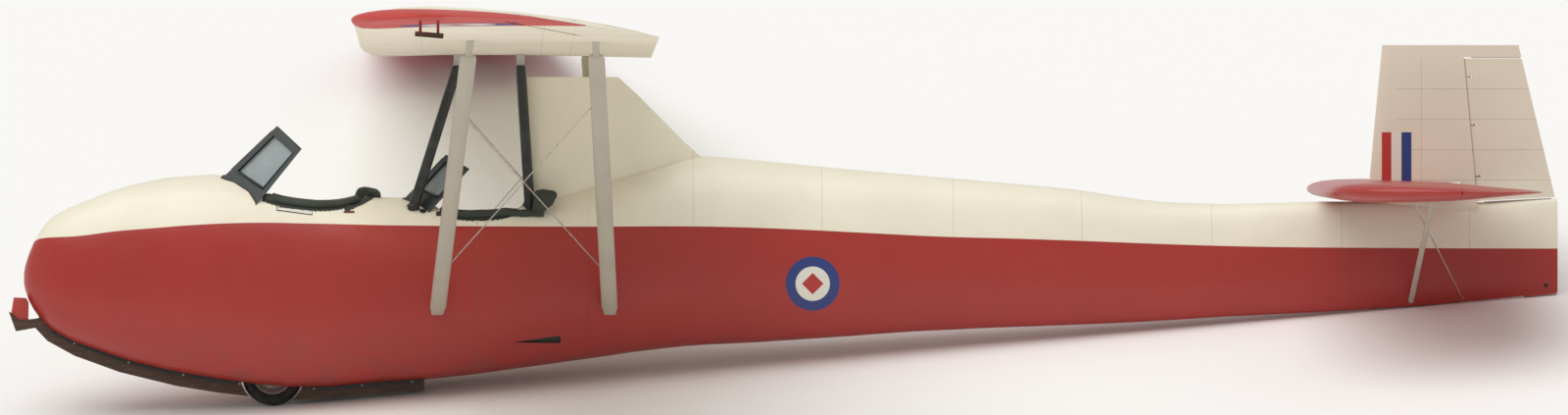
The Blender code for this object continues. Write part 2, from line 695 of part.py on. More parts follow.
def build_pylon(paint):
    """The fairing behind the rear cockpit: square in front, drawn out to a thin edge behind."""
    plan = [(2.390, 0.170), (2.440, 0.180), (2.545, 0.176), (2.800, 0.135), (3.050, 0.085), (3.230, 0.045)]
    rings = []
    for height, lean, narrow in ((0.80, 0.0, 1.0), (1.505, -0.022, 0.82)):
        side = [(x + lean, y * narrow) for x, y in plan]
        rings.append([(x, -y, height) for x, y in side] + [(x, y, height) for x, y in reversed(side)])
    fairing = loft("pylon_fairing", rings, paint["skin"])
    back = [(2.792, 1.507), (2.882, 1.426), (3.107, 1.200), (3.172, 1.143), (3.60, 0.80), (3.60, 1.60)]
    combine(fairing, [side_slab("back", back, 0.4, None)])
    return combine(fairing, [hull_cutter(2.149, 3.782)])


def build_wings(paint):
    nodes = []
    for side, hand in ((-1, "port"), (1, "starboard")):
        wing = wing_solid("wing_" + hand, side, paint["fabric"])
        inner, outer = AILERON_SPAN
        ends = []
        for span in (inner, outer):
            top = wing_point(side, span, AILERON_HINGE, 0.0515)
            under = wing_point(side, span, AILERON_HINGE, 0.001)
            trail = wing_point(side, span, 1.0, -0.0025)
            ends.append(((top + under) / 2, (top - under).length / 2, trail))
        (start, first, trail_in), (end, last, trail_out) = ends
        line = HingeLine(start, end, first, last, trail_in, trail_out)
        aileron = loft("aileron_" + hand, [line.ring(a) for a in (0.0, line.length / 2, line.length)],
                       paint["fabric"])
        bay = loft("bay", [line.bay_ring(a) for a in (-SWING_GAP, line.length + SWING_GAP)], None)
        stops = [0.12 * line.length, 0.5 * line.length, 0.88 * line.length]
        combine(wing, [bay])
        combine(wing, [line.lug(a, 0.075) for a in stops], "UNION")
        combine(aileron, [line.notch(a) for a in stops])
        set_origin(aileron, start)
        nodes += [wing, aileron]
    return nodes


def build_tip_skids(paint):
    """A wooden runner under each tip, on two short posts."""
    nodes = []
    span = TIP_SKID_SPAN
    for side, hand in ((-1, "port"), (1, "starboard")):
        outline = [(1.881, 1.684), (2.002, 1.674), (2.004, 1.696), (1.883, 1.706)]
        runner = side_slab("tip_skid_" + hand, outline, 0.020, paint["skid_wood"], side * span)
        for x in (1.905, 1.980):
            top = wing_under_height(span, x) - 0.0012
            stops = [(Vector((x, side * span, z)), 0.006, 0.006) for z in (1.692, top)]
            combine(runner, [rod("post", stops, None, 8)], "UNION")
        nodes.append(runner)
    return nodes


def build_struts(paint, wings):
    nodes = []
    feet = {"front": (1.966, 0.336), "rear": (2.755, 0.284)}
    tops = {"front": 2.117, "rear": 2.673}
    for side, hand in ((-1, "port"), (1, "starboard")):
        wing = wings[hand]
        ends = {}
        for place in ("front", "rear"):
            foot_x, foot_y = feet[place]
            low = Vector((foot_x, side * foot_y, STRUT_FOOT_HEIGHT))
            high = Vector((tops[place], side * STRUT_SPAN, wing_under_height(STRUT_SPAN, tops[place])))
            run = high - low
            share = (1.603 - low.z) / run.z
            stops = [
                (low - 0.030 * run, 0.030, 0.014), (low + 0.004 * run, 0.030, 0.014),
                (low + 0.020 * run, 0.037, 0.016), (low + (share - 0.01) * run, 0.037, 0.016),
                (low + share * run, 0.030, 0.012), (low + (share + 0.002) * run, 0.016, 0.006),
                (high + 0.004 * run, 0.016, 0.006),
            ]
            strut = rod("lift_strut_%s_%s" % (place, hand), stops, paint["strut"], 12)
            combine(strut, [hull_cutter(1.127, 3.422), duplicate(wing, (0, 0, -2 * SEAT_GAP))])
            nodes.append(strut)
            ends[place] = (low, run, strut)
        for name, front_z, rear_z, raised in (("a", 1.341, 0.598, 0.0037), ("b", 0.621, 1.413, -0.0037)):
            points = []
            for place, height in (("front", front_z), ("rear", rear_z)):
                low, run, _ = ends[place]
                points.append(low + run * ((height - low.z) / run.z) + Vector((0, 0, raised)))
            wire = rod("strut_wire_%s_%s" % (name, hand), [(point, 0.003, 0.003) for point in points],
                       paint["wire"], 6)
            front, rear = ends["front"][2], ends["rear"][2]
            combine(wire, [duplicate(front, (SEAT_GAP, 0, 0)), duplicate(rear, (-SEAT_GAP, 0, 0))])
            nodes.append(wire)
    return nodes


def build_cabane(paint, wings):
    nodes = []
    for side, hand in ((-1, "port"), (1, "starboard")):
        for place, low, high in (
            ("front", Vector((1.856, 0.190, 0.910)), Vector((2.059, 0.180, 1.557))),
            ("rear", Vector((2.389, 0.203, 0.915)), Vector((2.347, 0.190, 1.557))),
        ):
            for point in (low, high):
                point.y *= side
            run = high - low
            tube = rod("cabane_tube_%s_%s" % (place, hand), [(low - 0.06 * run, 0.0235, 0.0235),
                       (high, 0.0235, 0.0235)], paint["dark_steel"], 14)
            plate = block("plate", (high.x - 0.018, high.y - 0.004, high.z - 0.020),
                          (high.x + 0.018, high.y + 0.004, 1.640), None)
            combine(tube, [plate], "UNION")
            combine(tube, [hull_cutter(1.300, 3.017), duplicate(wings[hand], (0, 0, -2 * SEAT_GAP))])
            nodes.append(tube)
    return nodes


def tail_rounding(y):
    past = max(abs(y) - TAIL_ROUNDING_START, 0.0) / (TAIL_HALF_SPAN - TAIL_ROUNDING_START)
    return max(1 - past ** 2.3, 0.0) ** (1 / 2.3)


def tail_ring(y):
    """A section of the tailplane, with its elevator."""
    scale = tail_rounding(y)
    lead, trail = (ELEVATOR_HINGE - TAIL_LEAD) * scale, (TAIL_TRAIL - ELEVATOR_HINGE) * scale
    upper = [(ELEVATOR_HINGE - lead * (1 - s), TAIL_HALF_DEPTH * d * scale) for s, d in TAIL_PROFILE[1:]]
    upper.append((ELEVATOR_HINGE + trail, 0.003 * scale))
    ring = [(ELEVATOR_HINGE - lead, y, TAIL_HEIGHT)]
    ring += [(x, y, TAIL_HEIGHT + rise) for x, rise in upper]
    ring += [(x, y, TAIL_HEIGHT - rise) for x, rise in reversed(upper)]
    return ring


def build_tail(paint):
    spans = [-y for y in reversed(TAIL_TIP_STATIONS)] + [-0.55, 0.55] + TAIL_TIP_STATIONS
    tailplane = loft("tailplane", [tail_ring(y) for y in spans], paint["red_fabric"])
    radius = TAIL_HALF_DEPTH * TAIL_PROFILE[-1][1] * 0.98
    across = HingeLine(Vector((ELEVATOR_HINGE, -TAIL_HALF_SPAN, TAIL_HEIGHT)),
                       Vector((ELEVATOR_HINGE, TAIL_HALF_SPAN, TAIL_HEIGHT)), radius, radius,
                       Vector((TAIL_TRAIL, -1, TAIL_HEIGHT)), Vector((TAIL_TRAIL, 1, TAIL_HEIGHT)))
    middle = across.length / 2
    stations = [(-TAIL_HALF_SPAN - 0.01, 0.0)] + [(y, tail_rounding(y)) for y in spans]
    stations.append((TAIL_HALF_SPAN + 0.01, 0.0))
    combine(tailplane, [loft("bay", [across.bay_ring(middle + y, scale) for y, scale in stations], None)])
    places = [middle + side * y for side in (-1, 1) for y in (0.35, 1.05)]
    combine(tailplane, [across.lug(a, 0.085) for a in places], "UNION")
    combine(tailplane, [hull_cutter(5.582, TAIL_END)])

    stops = [(Vector((ELEVATOR_HINGE, y, TAIL_HEIGHT)), 0.016, 0.016) for y in (-0.12, 0.12)]
    tube = rod("elevator", stops, paint["red_fabric"], 12)
    for side in (-1, 1):
        rings = [across.ring(middle + side * y, tail_rounding(y)) for y in [0.055, *TAIL_TIP_STATIONS]]
        half = loft("half", rings, None)
        cut = [(ELEVATOR_HINGE - 0.06, 0.0), (ELEVATOR_HINGE + 0.01, 0.055), (TAIL_TRAIL + 0.05, 0.235),
               (TAIL_TRAIL + 0.05, 0.0)]
        wedge = loft("wedge", [[(x, side * y, z) for x, y in cut] for z in (0.8, 1.2)], None)
        combine(half, [wedge])
        combine(tube, [half], "UNION")
    combine(tube, [across.notch(a) for a in places])
    set_origin(tube, Vector((ELEVATOR_HINGE, 0, TAIL_HEIGHT)))

    foot, top = RUDDER_HINGE_FOOT, RUDDER_HINGE_TOP
    upright = HingeLine(foot, top, 0.027, 0.018, RUDDER_TRAIL_FOOT, RUDDER_TRAIL_TOP)

    def fin_ring(z):
        share = (z - foot.z) / (top.z - foot.z)
        lead = 6.236 + 0.071 * min(max((z - 0.93) / 0.73, 0.0), 1.0)
        hinge = foot.x + (top.x - foot.x) * share
        trail = RUDDER_TRAIL_FOOT.x + (RUDDER_TRAIL_TOP.x - RUDDER_TRAIL_FOOT.x) * share
        half = 0.028 - 0.009 * share
        side = [(lead + 0.012, 0.3 * half), (lead + 0.05, 0.62 * half), (lead + 0.16, 0.9 * half),
                (hinge, half), (trail, 0.003)]
        ring = [(lead, 0.0, z)] + [(x, y, z) for x, y in side]
        return ring + [(x, -y, z) for x, y in reversed(side)]

    fin = loft("fin", [fin_ring(z) for z in (FIN_FOOT, 1.25, 1.600, FIN_TOP - 0.008)], paint["fin_skin"])
    bay = loft("bay", [upright.bay_ring(a) for a in (-0.12, upright.length + 0.05)], None)
    slab = block("slab", (6.0, -1, 0.5), (8.0, 1, RUDDER_TOP + SWING_GAP), None)
    combine(bay, [slab], "INTERSECT")
    combine(fin, [bay])
    stops = [0.16 * upright.length, 0.52 * upright.length, 0.86 * upright.length]
    combine(fin, [upright.lug(a, 0.045) for a in stops], "UNION")
    section = [(x, z) for x, _, z in tail_ring(0.0) if x <= ELEVATOR_HINGE]
    over = sorted((x, z + SEAT_GAP) for x, z in section if z >= TAIL_HEIGHT)
    under = sorted((x, z - SEAT_GAP) for x, z in section if z <= TAIL_HEIGHT)
    post = ELEVATOR_HINGE + 0.068
    passage = over + [(post, over[-1][1]), (post, under[-1][1])] + under[::-1]
    combine(fin, [side_slab("passage", passage, 0.3, None)])
    combine(fin, [hull_cutter(5.582, TAIL_END)])

    rudder = loft("rudder", [upright.ring(a) for a in (-0.04, upright.length + 0.02)], paint["fin_skin"])
    (front_x, front_z), (rear_x, rear_z) = RUDDER_FOOT_LINE
    rise = (rear_z - front_z) / (rear_x - front_x)
    side_view = [(6.5, front_z + (6.5 - front_x) * rise), (7.3, front_z + (7.3 - front_x) * rise),
                 (7.3, RUDDER_TOP), (6.5, RUDDER_TOP)]
    combine(rudder, [side_slab("side_view", side_view, 1.0, None)], "INTERSECT")
    combine(rudder, [upright.notch(a) for a in stops])
    set_origin(rudder, foot)
    nodes = [tailplane, tube, fin, rudder]

    for side, hand in ((-1, "port"), (1, "starboard")):
        low, high = Vector((6.438, side * 0.034, 0.482)), Vector((6.496, side * 0.800, 0.946))
        run = high - low
        stops = [(low - 0.025 * run, 0.013, 0.008), (high + 0.05 * run, 0.013, 0.008)]
        strut = rod("tail_strut_" + hand, stops, paint["strut"], 10)
        combine(strut, [hull_cutter(5.582, TAIL_END), duplicate(tailplane, (0, 0, -SEAT_GAP))])
        low, high = Vector((6.673, side * 0.030, 0.494)), Vector((6.408, side * 0.700, 0.945))
        run = high - low
        stops = [(low - 0.02 * run, 0.003, 0.003), (high + 0.05 * run, 0.003, 0.003)]
        wire = rod("tail_wire_" + hand, stops, paint["wire"], 6)
        combine(wire, [hull_cutter(5.582, TAIL_END), duplicate(tailplane, (0, 0, -SEAT_GAP))])
        nodes += [strut, wire]

    sole = [
        (6.960, hull_bottom(6.960) - 0.0045), (7.108, hull_bottom(7.108) - 0.0045), (7.108, 0.560),
        (6.960, 0.545),
    ]
    shoe = side_slab("tail_shoe", sole, 0.012, paint["steel"])
    nodes.append(combine(shoe, [hull_cutter(5.582, TAIL_END)]))
    return nodes


def lowest(points, turn):
    return min((turn @ point).z for point in points)


def set_down(nodes, contacts):
    """Turns the level glider until wheel, tail shoe and starboard tip skid reach the same height."""
    clouds = []
    for item in contacts:
        clouds.append([item.location + vertex.co for vertex in item.data.vertices])
    wheel, tail, tip = clouds
    tail_arm = tail[0].x - WHEEL_CENTRE.x
    tip_arm = abs(tip[0].y)
    pitch, roll = 0.0, 0.0
    for _ in range(40):
        turn = Matrix.Rotation(pitch, 3, "Y") @ Matrix.Rotation(-roll, 3, "X")
        ground = lowest(wheel, turn)
        pitch += (lowest(tail, turn) - ground) / tail_arm
        roll += (lowest(tip, turn) - ground) / tip_arm
    turn = Matrix.Rotation(pitch, 3, "Y") @ Matrix.Rotation(-roll, 3, "X")
    everything = [turn @ (item.location + vertex.co) for item in nodes for vertex in item.data.vertices]
    low = Vector([min(point[i] for point in everything) for i in range(3)])
    high = Vector([max(point[i] for point in everything) for i in range(3)])
    parked = bpy.data.objects.new("parked_attitude", None)
    bpy.context.scene.collection.objects.link(parked)
    parked.rotation_euler = turn.to_euler()
    parked.location = (-(low.x + high.x) / 2, -(low.y + high.y) / 2, -lowest(wheel, turn))
    for item in nodes:
        item.parent = parked
    return parked


def main():
    clear_scene()
    paint = {
        "skin": finish("painted_plywood", "efe8d2", 0.35),
        "fabric": finish("doped_fabric_cream", "e6dfc8", 0.45),
        "red_fabric": finish("doped_fabric_red", "b0403a", 0.45),
        "fin_skin": finish("painted_fin", "e0d8c2", 0.4),
        "strut": finish("painted_strut", "b9b29f", 0.4),
        "dark_steel": finish("dark_enamel", "2a2a2a", 0.35, 0.2),
        "steel": finish("bare_steel", "8c8b88", 0.35, 1.0),
        "wire": finish("bracing_wire", "9a948c", 0.3, 1.0),
        "ply": finish("varnished_plywood", "a07a4c", 0.5),
        "panel": finish("panel_enamel", "26282a", 0.5),
        "leather": finish("padded_leather", "3b4037", 0.6),
        "frame": finish("windscreen_enamel", "3a4340", 0.4),
        "glass": finish("clear_sheet", "c8d2d2", 0.05),
        "skid_wood": finish("skid_ash", "54402f", 0.7),
        "red_rubber": finish("red_rubber", "b9403a", 0.5),
        "tyre": finish("tyre_rubber", "1d1f1d", 0.85),
        "hub": finish("hub_enamel", "7a6460", 0.5),
    }
    wheel = build_wheel(paint)
    wings = build_wings(paint)
    panels = {"port": wings[0], "starboard": wings[2]}
    tips = build_tip_skids(paint)
    tail = build_tail(paint)
    nodes = wheel + wings + tips + tail
    nodes.append(build_wheel_well(paint))
    nodes += build_hull(paint)
    nodes += build_skids(paint)
    nodes += build_interior(paint)
    nodes += build_cockpit_trim(paint)
    nodes += build_windscreens(paint)
    nodes.append(build_pylon(paint))
    nodes += build_struts(paint, panels)
    nodes += build_cabane(paint, panels)
    set_down(nodes, [wheel[0], tail[-1], tips[1]])


main()
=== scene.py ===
"""Finishes and small fittings of a strut-braced two-seat training glider, parked on one wing tip.

Pieces are made in the glider's own level axes: x aft from the skid's toe, y to starboard and z up from
the wheel's lowest point, in metres. They are then set down with the parked solids.
"""

import math

import bmesh
import bpy
from mathutils import Matrix, Vector
from mathutils.bvhtree import BVHTree
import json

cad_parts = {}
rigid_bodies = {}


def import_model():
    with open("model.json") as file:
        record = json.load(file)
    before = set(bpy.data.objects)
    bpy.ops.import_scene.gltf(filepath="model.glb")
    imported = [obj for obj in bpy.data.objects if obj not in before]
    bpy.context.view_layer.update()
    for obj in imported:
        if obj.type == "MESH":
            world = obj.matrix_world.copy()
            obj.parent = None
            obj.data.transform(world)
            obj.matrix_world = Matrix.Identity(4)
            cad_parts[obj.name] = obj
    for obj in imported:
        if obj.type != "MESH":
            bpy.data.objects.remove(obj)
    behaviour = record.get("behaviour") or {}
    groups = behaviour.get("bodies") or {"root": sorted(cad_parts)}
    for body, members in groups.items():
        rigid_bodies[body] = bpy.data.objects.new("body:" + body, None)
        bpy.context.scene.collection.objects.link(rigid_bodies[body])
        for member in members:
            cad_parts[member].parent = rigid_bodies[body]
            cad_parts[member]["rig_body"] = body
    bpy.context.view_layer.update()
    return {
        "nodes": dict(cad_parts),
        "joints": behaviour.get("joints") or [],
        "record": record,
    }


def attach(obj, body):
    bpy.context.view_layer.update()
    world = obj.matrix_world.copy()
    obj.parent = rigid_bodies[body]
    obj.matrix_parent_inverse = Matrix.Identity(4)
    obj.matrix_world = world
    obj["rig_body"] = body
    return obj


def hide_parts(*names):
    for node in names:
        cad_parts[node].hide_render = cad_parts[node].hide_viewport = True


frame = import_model()
nodes = frame["nodes"]
joints = {joint["name"]: joint for joint in frame["joints"]}
SLOTS = {part["node"]: part["material_slot"] for part in frame["record"]["subparts"]}
HANDS = ((-1, "port"), (1, "starboard"))
SIDES = (-1, 1)
MERGE = 0.00002  # points closer than this are one


# The parked attitude, from the wheel's axle and the rudder's hinge line

WHEEL = Vector((1.208, 0.0, 0.140))
RUDDER_LEAN = math.atan2(0.063, 0.652)


def parked_attitude():
    across = Vector(joints["wheel_spin"]["axis"])
    post = Vector(joints["rudder_hinge"]["axis"])
    square = across.cross(post)
    lean, stand = math.sin(RUDDER_LEAN), math.cos(RUDDER_LEAN)
    aft = stand * square - lean * post
    up = lean * square + stand * post
    turn = Matrix((aft, across, up)).transposed()
    shift = Vector(joints["wheel_spin"]["pos_m"]) - turn @ WHEEL
    return Matrix.Translation(shift) @ turn.to_4x4()


PARKED = parked_attitude()
LEVEL = PARKED.inverted()


# Camera: a long lens on the port side, level with the wing tips and square to the glider

EYE = Vector((2.117, -83.2, 1.5885))
AIM = Vector((3.557, 0.0, 0.9068))
LENS = 416

eye = bpy.data.objects.new("camera", bpy.data.cameras.new("camera"))
bpy.context.scene.collection.objects.link(eye)
bpy.context.scene.camera = eye
sight = (AIM - EYE).normalized()
right = sight.cross(Vector((0, 0, 1))).normalized()
facing = Matrix((right, right.cross(sight), -sight)).transposed()
eye.matrix_world = PARKED @ (Matrix.Translation(EYE) @ facing.to_4x4())
eye.data.lens = LENS
eye.data.sensor_width = 36
eye.data.clip_start = 10
eye.data.clip_end = 400


# Modelling helpers

def take(item):
    """Makes one object the only one chosen."""
    bpy.ops.object.select_all(action="DESELECT")
    item.select_set(True)
    bpy.context.view_layer.objects.active = item
    return item


def apply_all(item):
    take(item)
    for modifier in list(item.modifiers):
        bpy.ops.object.modifier_apply(modifier=modifier.name)
    return item


def modify(item, kind, **settings):
    """Adds one modifier with its settings and applies it."""
    modifier = item.modifiers.new(kind.lower(), kind)
    for name, value in settings.items():
        setattr(modifier, name, value)
    return apply_all(item)


def smooth(item, angle):
    take(item)
    bpy.ops.object.shade_smooth_by_angle(angle=math.radians(angle))
    return item


def choose_faces(item, test):
    """Opens edit mode with the faces chosen whose centre and normal pass a test."""
    take(item)
    bpy.ops.object.mode_set(mode="EDIT")
    bpy.ops.mesh.select_mode(type="FACE")
    bpy.ops.mesh.select_all(action="DESELECT")
    shape = bmesh.from_edit_mesh(item.data)
    for face in shape.faces:
        face.select_set(test(face.calc_center_median(), face.normal))
    bmesh.update_edit_mesh(item.data)


def leave_edit():
    bpy.ops.object.mode_set(mode="OBJECT")


def outward(item):
    choose_faces(item, lambda centre, normal: True)
    bpy.ops.mesh.remove_doubles(threshold=MERGE)
    bpy.ops.mesh.normals_make_consistent(inside=False)
    leave_edit()
    return item


def round_edges(item, width, segments=2):
    return modify(item, "BEVEL", width=width, segments=segments, limit_method="ANGLE",
                  angle_limit=math.radians(30))


def box(low, high):
    """A box between two corners, as the start of a piece."""
    bpy.ops.object.select_all(action="DESELECT")
    low, high = Vector(low), Vector(high)
    bpy.ops.mesh.primitive_cube_add(size=1, location=(low + high) / 2)
    item = bpy.context.object
    item.scale = high - low
    bpy.ops.object.transform_apply(location=True, rotation=True, scale=True)
    return item


def turned(profile, steps):
    """A piece turned about z through (radius, height) points."""
    mesh = bpy.data.meshes.new("turned")
    edges = [(i, i + 1) for i in range(len(profile) - 1)]
    mesh.from_pydata([(r, 0, h) for r, h in profile], edges, [])
    item = bpy.data.objects.new("turned", mesh)
    bpy.context.scene.collection.objects.link(item)
    modify(item, "SCREW", steps=steps, render_steps=steps, use_merge_vertices=True,
           merge_threshold=MERGE)
    return outward(item)


def layered(rows, thick):
    """A sheet through rows of points, with its thickness on both sides of them."""
    wide, long = len(rows[0]), len(rows)
    bpy.ops.object.select_all(action="DESELECT")
    bpy.ops.mesh.primitive_grid_add(x_subdivisions=wide - 1, y_subdivisions=long - 1)
    item = bpy.context.object
    bpy.ops.object.transform_apply(location=True, rotation=True, scale=True)
    for vertex, place in zip(item.data.vertices, (point for row in rows for point in row)):
        vertex.co = place
    item.data.update()
    modify(item, "SOLIDIFY", thickness=thick, offset=0)
    return outward(item)


def stand(item, point, direction, spin=0.0):
    """Moves a piece made about z so that it stands at a point, along a direction."""
    turn = Vector((0, 0, 1)).rotation_difference(Vector(direction)).to_matrix().to_4x4()
    item.data.transform(Matrix.Translation(point) @ turn @ Matrix.Rotation(spin, 4, "Z"))
    return item


def twin(item):
    """A copy with its own mesh."""
    copy = bpy.data.objects.new(item.name, item.data.copy())
    bpy.context.scene.collection.objects.link(copy)
    return copy


def joined(items):
    take(items[0])
    for item in items:
        item.select_set(True)
    if len(items) > 1:
        bpy.ops.object.join()
    return items[0]


def copies(master, places):
    """Copies of one small piece at (point, direction) places, joined; the first one is used up."""
    made = [stand(twin(master), point, direction) for point, direction in places]
    bpy.data.objects.remove(master, do_unlink=True)
    return joined(made)


def coat(item, finish):
    item.data.materials.clear()
    item.data.materials.append(finish)
    return item


def finished(item, name, finish, body="airframe", angle=35):
    """Puts a level piece in its parked place and hands it to its body."""
    take(item)
    item.data.transform(PARKED)
    item.name = name
    item.data.name = name
    smooth(coat(item, finish), angle)
    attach(item, body)
    return item


def own_copy(node, level=False):
    """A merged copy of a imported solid."""
    mesh = nodes[node].data.copy()
    shape = bmesh.new()
    shape.from_mesh(mesh)
    bmesh.ops.remove_doubles(shape, verts=shape.verts, dist=MERGE)
    shape.to_mesh(mesh)
    shape.free()
    item = bpy.data.objects.new(node + "_skin", mesh)
    bpy.context.scene.collection.objects.link(item)
    take(item)
    bpy.ops.mesh.customdata_custom_splitnormals_clear()
    if level:
        mesh.transform(LEVEL)
    return item


def replace_node(item, node, angle=32):
    """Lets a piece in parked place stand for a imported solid."""
    smooth(item, angle)
    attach(item, nodes[node]["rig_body"])
    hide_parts(node)
    return item


# The hull's surface, for pieces that lie on it

SHELL_NODES = ("fuselage_nose_shell", "fuselage_centre_shell", "fuselage_rear")
hull_form = joined([own_copy(node, True) for node in SHELL_NODES])
hull_tree = BVHTree.FromObject(hull_form, bpy.context.evaluated_depsgraph_get())


def on_deck(x, y):
    point, normal, _, _ = hull_tree.ray_cast(Vector((x, y, 3)), Vector((0, 0, -1)))
    return point, normal


def on_belly(x, y):
    point, normal, _, _ = hull_tree.ray_cast(Vector((x, y, -1)), Vector((0, 0, 1)))
    return point, normal


def on_side(x, z, side):
    point, normal, _, _ = hull_tree.ray_cast(Vector((x, side * 2, z)), Vector((0, -side, 0)))
    return point, normal


# Finishes

def linear(code):
    channels = [int(code[i:i + 2], 16) / 255 for i in (0, 2, 4)]
    return [c / 12.92 if c <= 0.04045 else ((c + 0.055) / 1.055) ** 2.4 for c in channels] + [1.0]


FAR = 9.0  # beyond every part of the glider: the open end of a range


class Finish:
    """A material with its shader and the level position of each point."""

    def __init__(self, name, **values):
        self.material = bpy.data.materials.new(name)
        self.material.use_nodes = True
        self.tree = self.material.node_tree
        self.shader = self.tree.nodes["Principled BSDF"]
        for key, value in values.items():
            self.shader.inputs[key.replace("_", " ")].default_value = value
        self.add("TexCoord")
        spot = self.tree.nodes[-1].outputs["Object"]
        self.level = self.add("Mapping", vector_type="TEXTURE", Vector=spot,
                              Location=PARKED.translation, Rotation=PARKED.to_euler())
        self.add("SeparateXYZ", self.level)
        self.x, self.y, self.z = self.tree.nodes[-1].outputs

    def add(self, kind, *values, **named):
        """Adds one node: its inputs in order or by their names, as values or links, and its settings."""
        made = self.tree.nodes.new("ShaderNode" + kind)
        feeds = [(made.inputs[i], value) for i, value in enumerate(values)]
        for name, value in named.items():
            if name in made.inputs:
                feeds.append((made.inputs[name], value))
            else:
                setattr(made, name, value)
        for socket, value in feeds:
            if isinstance(value, bpy.types.NodeSocket):
                self.tree.links.new(value, socket)
            else:
                socket.default_value = value
        return made.outputs[0]

    def within(self, value, low, high, soft=0.0008):
        """1 where a value lies between two limits, with soft edges."""
        rise = self.add("MapRange", value, low - soft, low + soft, interpolation_type="SMOOTHSTEP")
        fall = self.add("MapRange", value, high - soft, high + soft, interpolation_type="SMOOTHSTEP")
        return self.add("Math", rise, fall, operation="SUBTRACT", use_clamp=True)

    def stretched(self, x, y, z):
        return self.add("VectorMath", self.level, (x, y, z), operation="MULTIPLY")

    def link(self, **sockets):
        for name, value in sockets.items():
            self.tree.links.new(value, self.shader.inputs[name.replace("_", " ")])

    def relief(self, height, distance):
        self.link(Normal=self.add("Bump", Height=height, Distance=distance))
        return self.material


CREAM = "efe8d3"
RED = "a62c25"
MARK_BLUE = "293a7c"
MARK_WHITE = "e9e6da"
MARK_RED = "b8302b"
PENCIL = "5a5046"


def disc_marking(made, base, u, v, radius):
    """A blue ring on a white field with a plain red diamond in the middle."""
    u_part = made.add("Math", u, u, operation="MULTIPLY")
    v_part = made.add("Math", v, v, operation="MULTIPLY")
    far = made.add("Math", made.add("Math", u_part, v_part, operation="ADD"), operation="SQRT")
    u_way, v_way = made.add("Math", u, operation="ABSOLUTE"), made.add("Math", v, operation="ABSOLUTE")
    square = made.add("Math", u_way, v_way, operation="ADD")
    rounds = ((far, 1.0, MARK_BLUE), (far, 0.635, MARK_WHITE), (square, 0.40, MARK_RED))
    for distance, size, code in rounds:
        base = made.add("MixRGB", made.within(distance, -FAR, radius * size), base, linear(code))
    return base


def brushed_tone(made, base, strength=0.05):
    """Hand-brushed paint a few years old dries to faint patches of tone, 0.2 to 0.5 m across."""
    patches = made.add("TexNoise", made.level, Scale=2.2, Detail=4.0)
    tone = made.add("MapRange", patches, 0.3, 0.7, 1.0 - strength, 1.0 + strength)
    grey = made.add("CombineColor", tone, tone, tone)
    return made.add("MixRGB", 1.0, base, grey, blend_type="MULTIPLY")


def lines_at(made, value, places, half=0.0015):
    """1 on thin lines at some values, 0 between."""
    lines = 0.0
    for place in places:
        line = made.within(value, place - half, place + half, 0.001)
        lines = made.add("Math", lines, line, operation="ADD")
    return lines


# Where cream meets red along the hull, as (x, z)
BOUNDARY = [
    (0.00, 0.735), (0.067, 0.735), (0.151, 0.767), (0.317, 0.778), (0.497, 0.801), (0.677, 0.816),
    (0.857, 0.830), (1.127, 0.840), (1.397, 0.836), (1.757, 0.828), (2.567, 0.822), (3.197, 0.822),
    (3.557, 0.811), (3.917, 0.793), (4.277, 0.775), (4.637, 0.765), (4.997, 0.752), (5.357, 0.738),
    (5.717, 0.728), (6.257, 0.722), (7.112, 0.718), (7.200, 0.718),
]
HULL_LENGTH = 7.2
FRAMES = (3.139, 3.728, 4.331, 4.921, 5.519, 6.118, 6.707)
SHELL_JOINT = 2.149
JOINT_LOW, JOINT_HIGH = 0.235, 0.880
HULL_MARK = (3.6845, 0.5600, 0.1240)


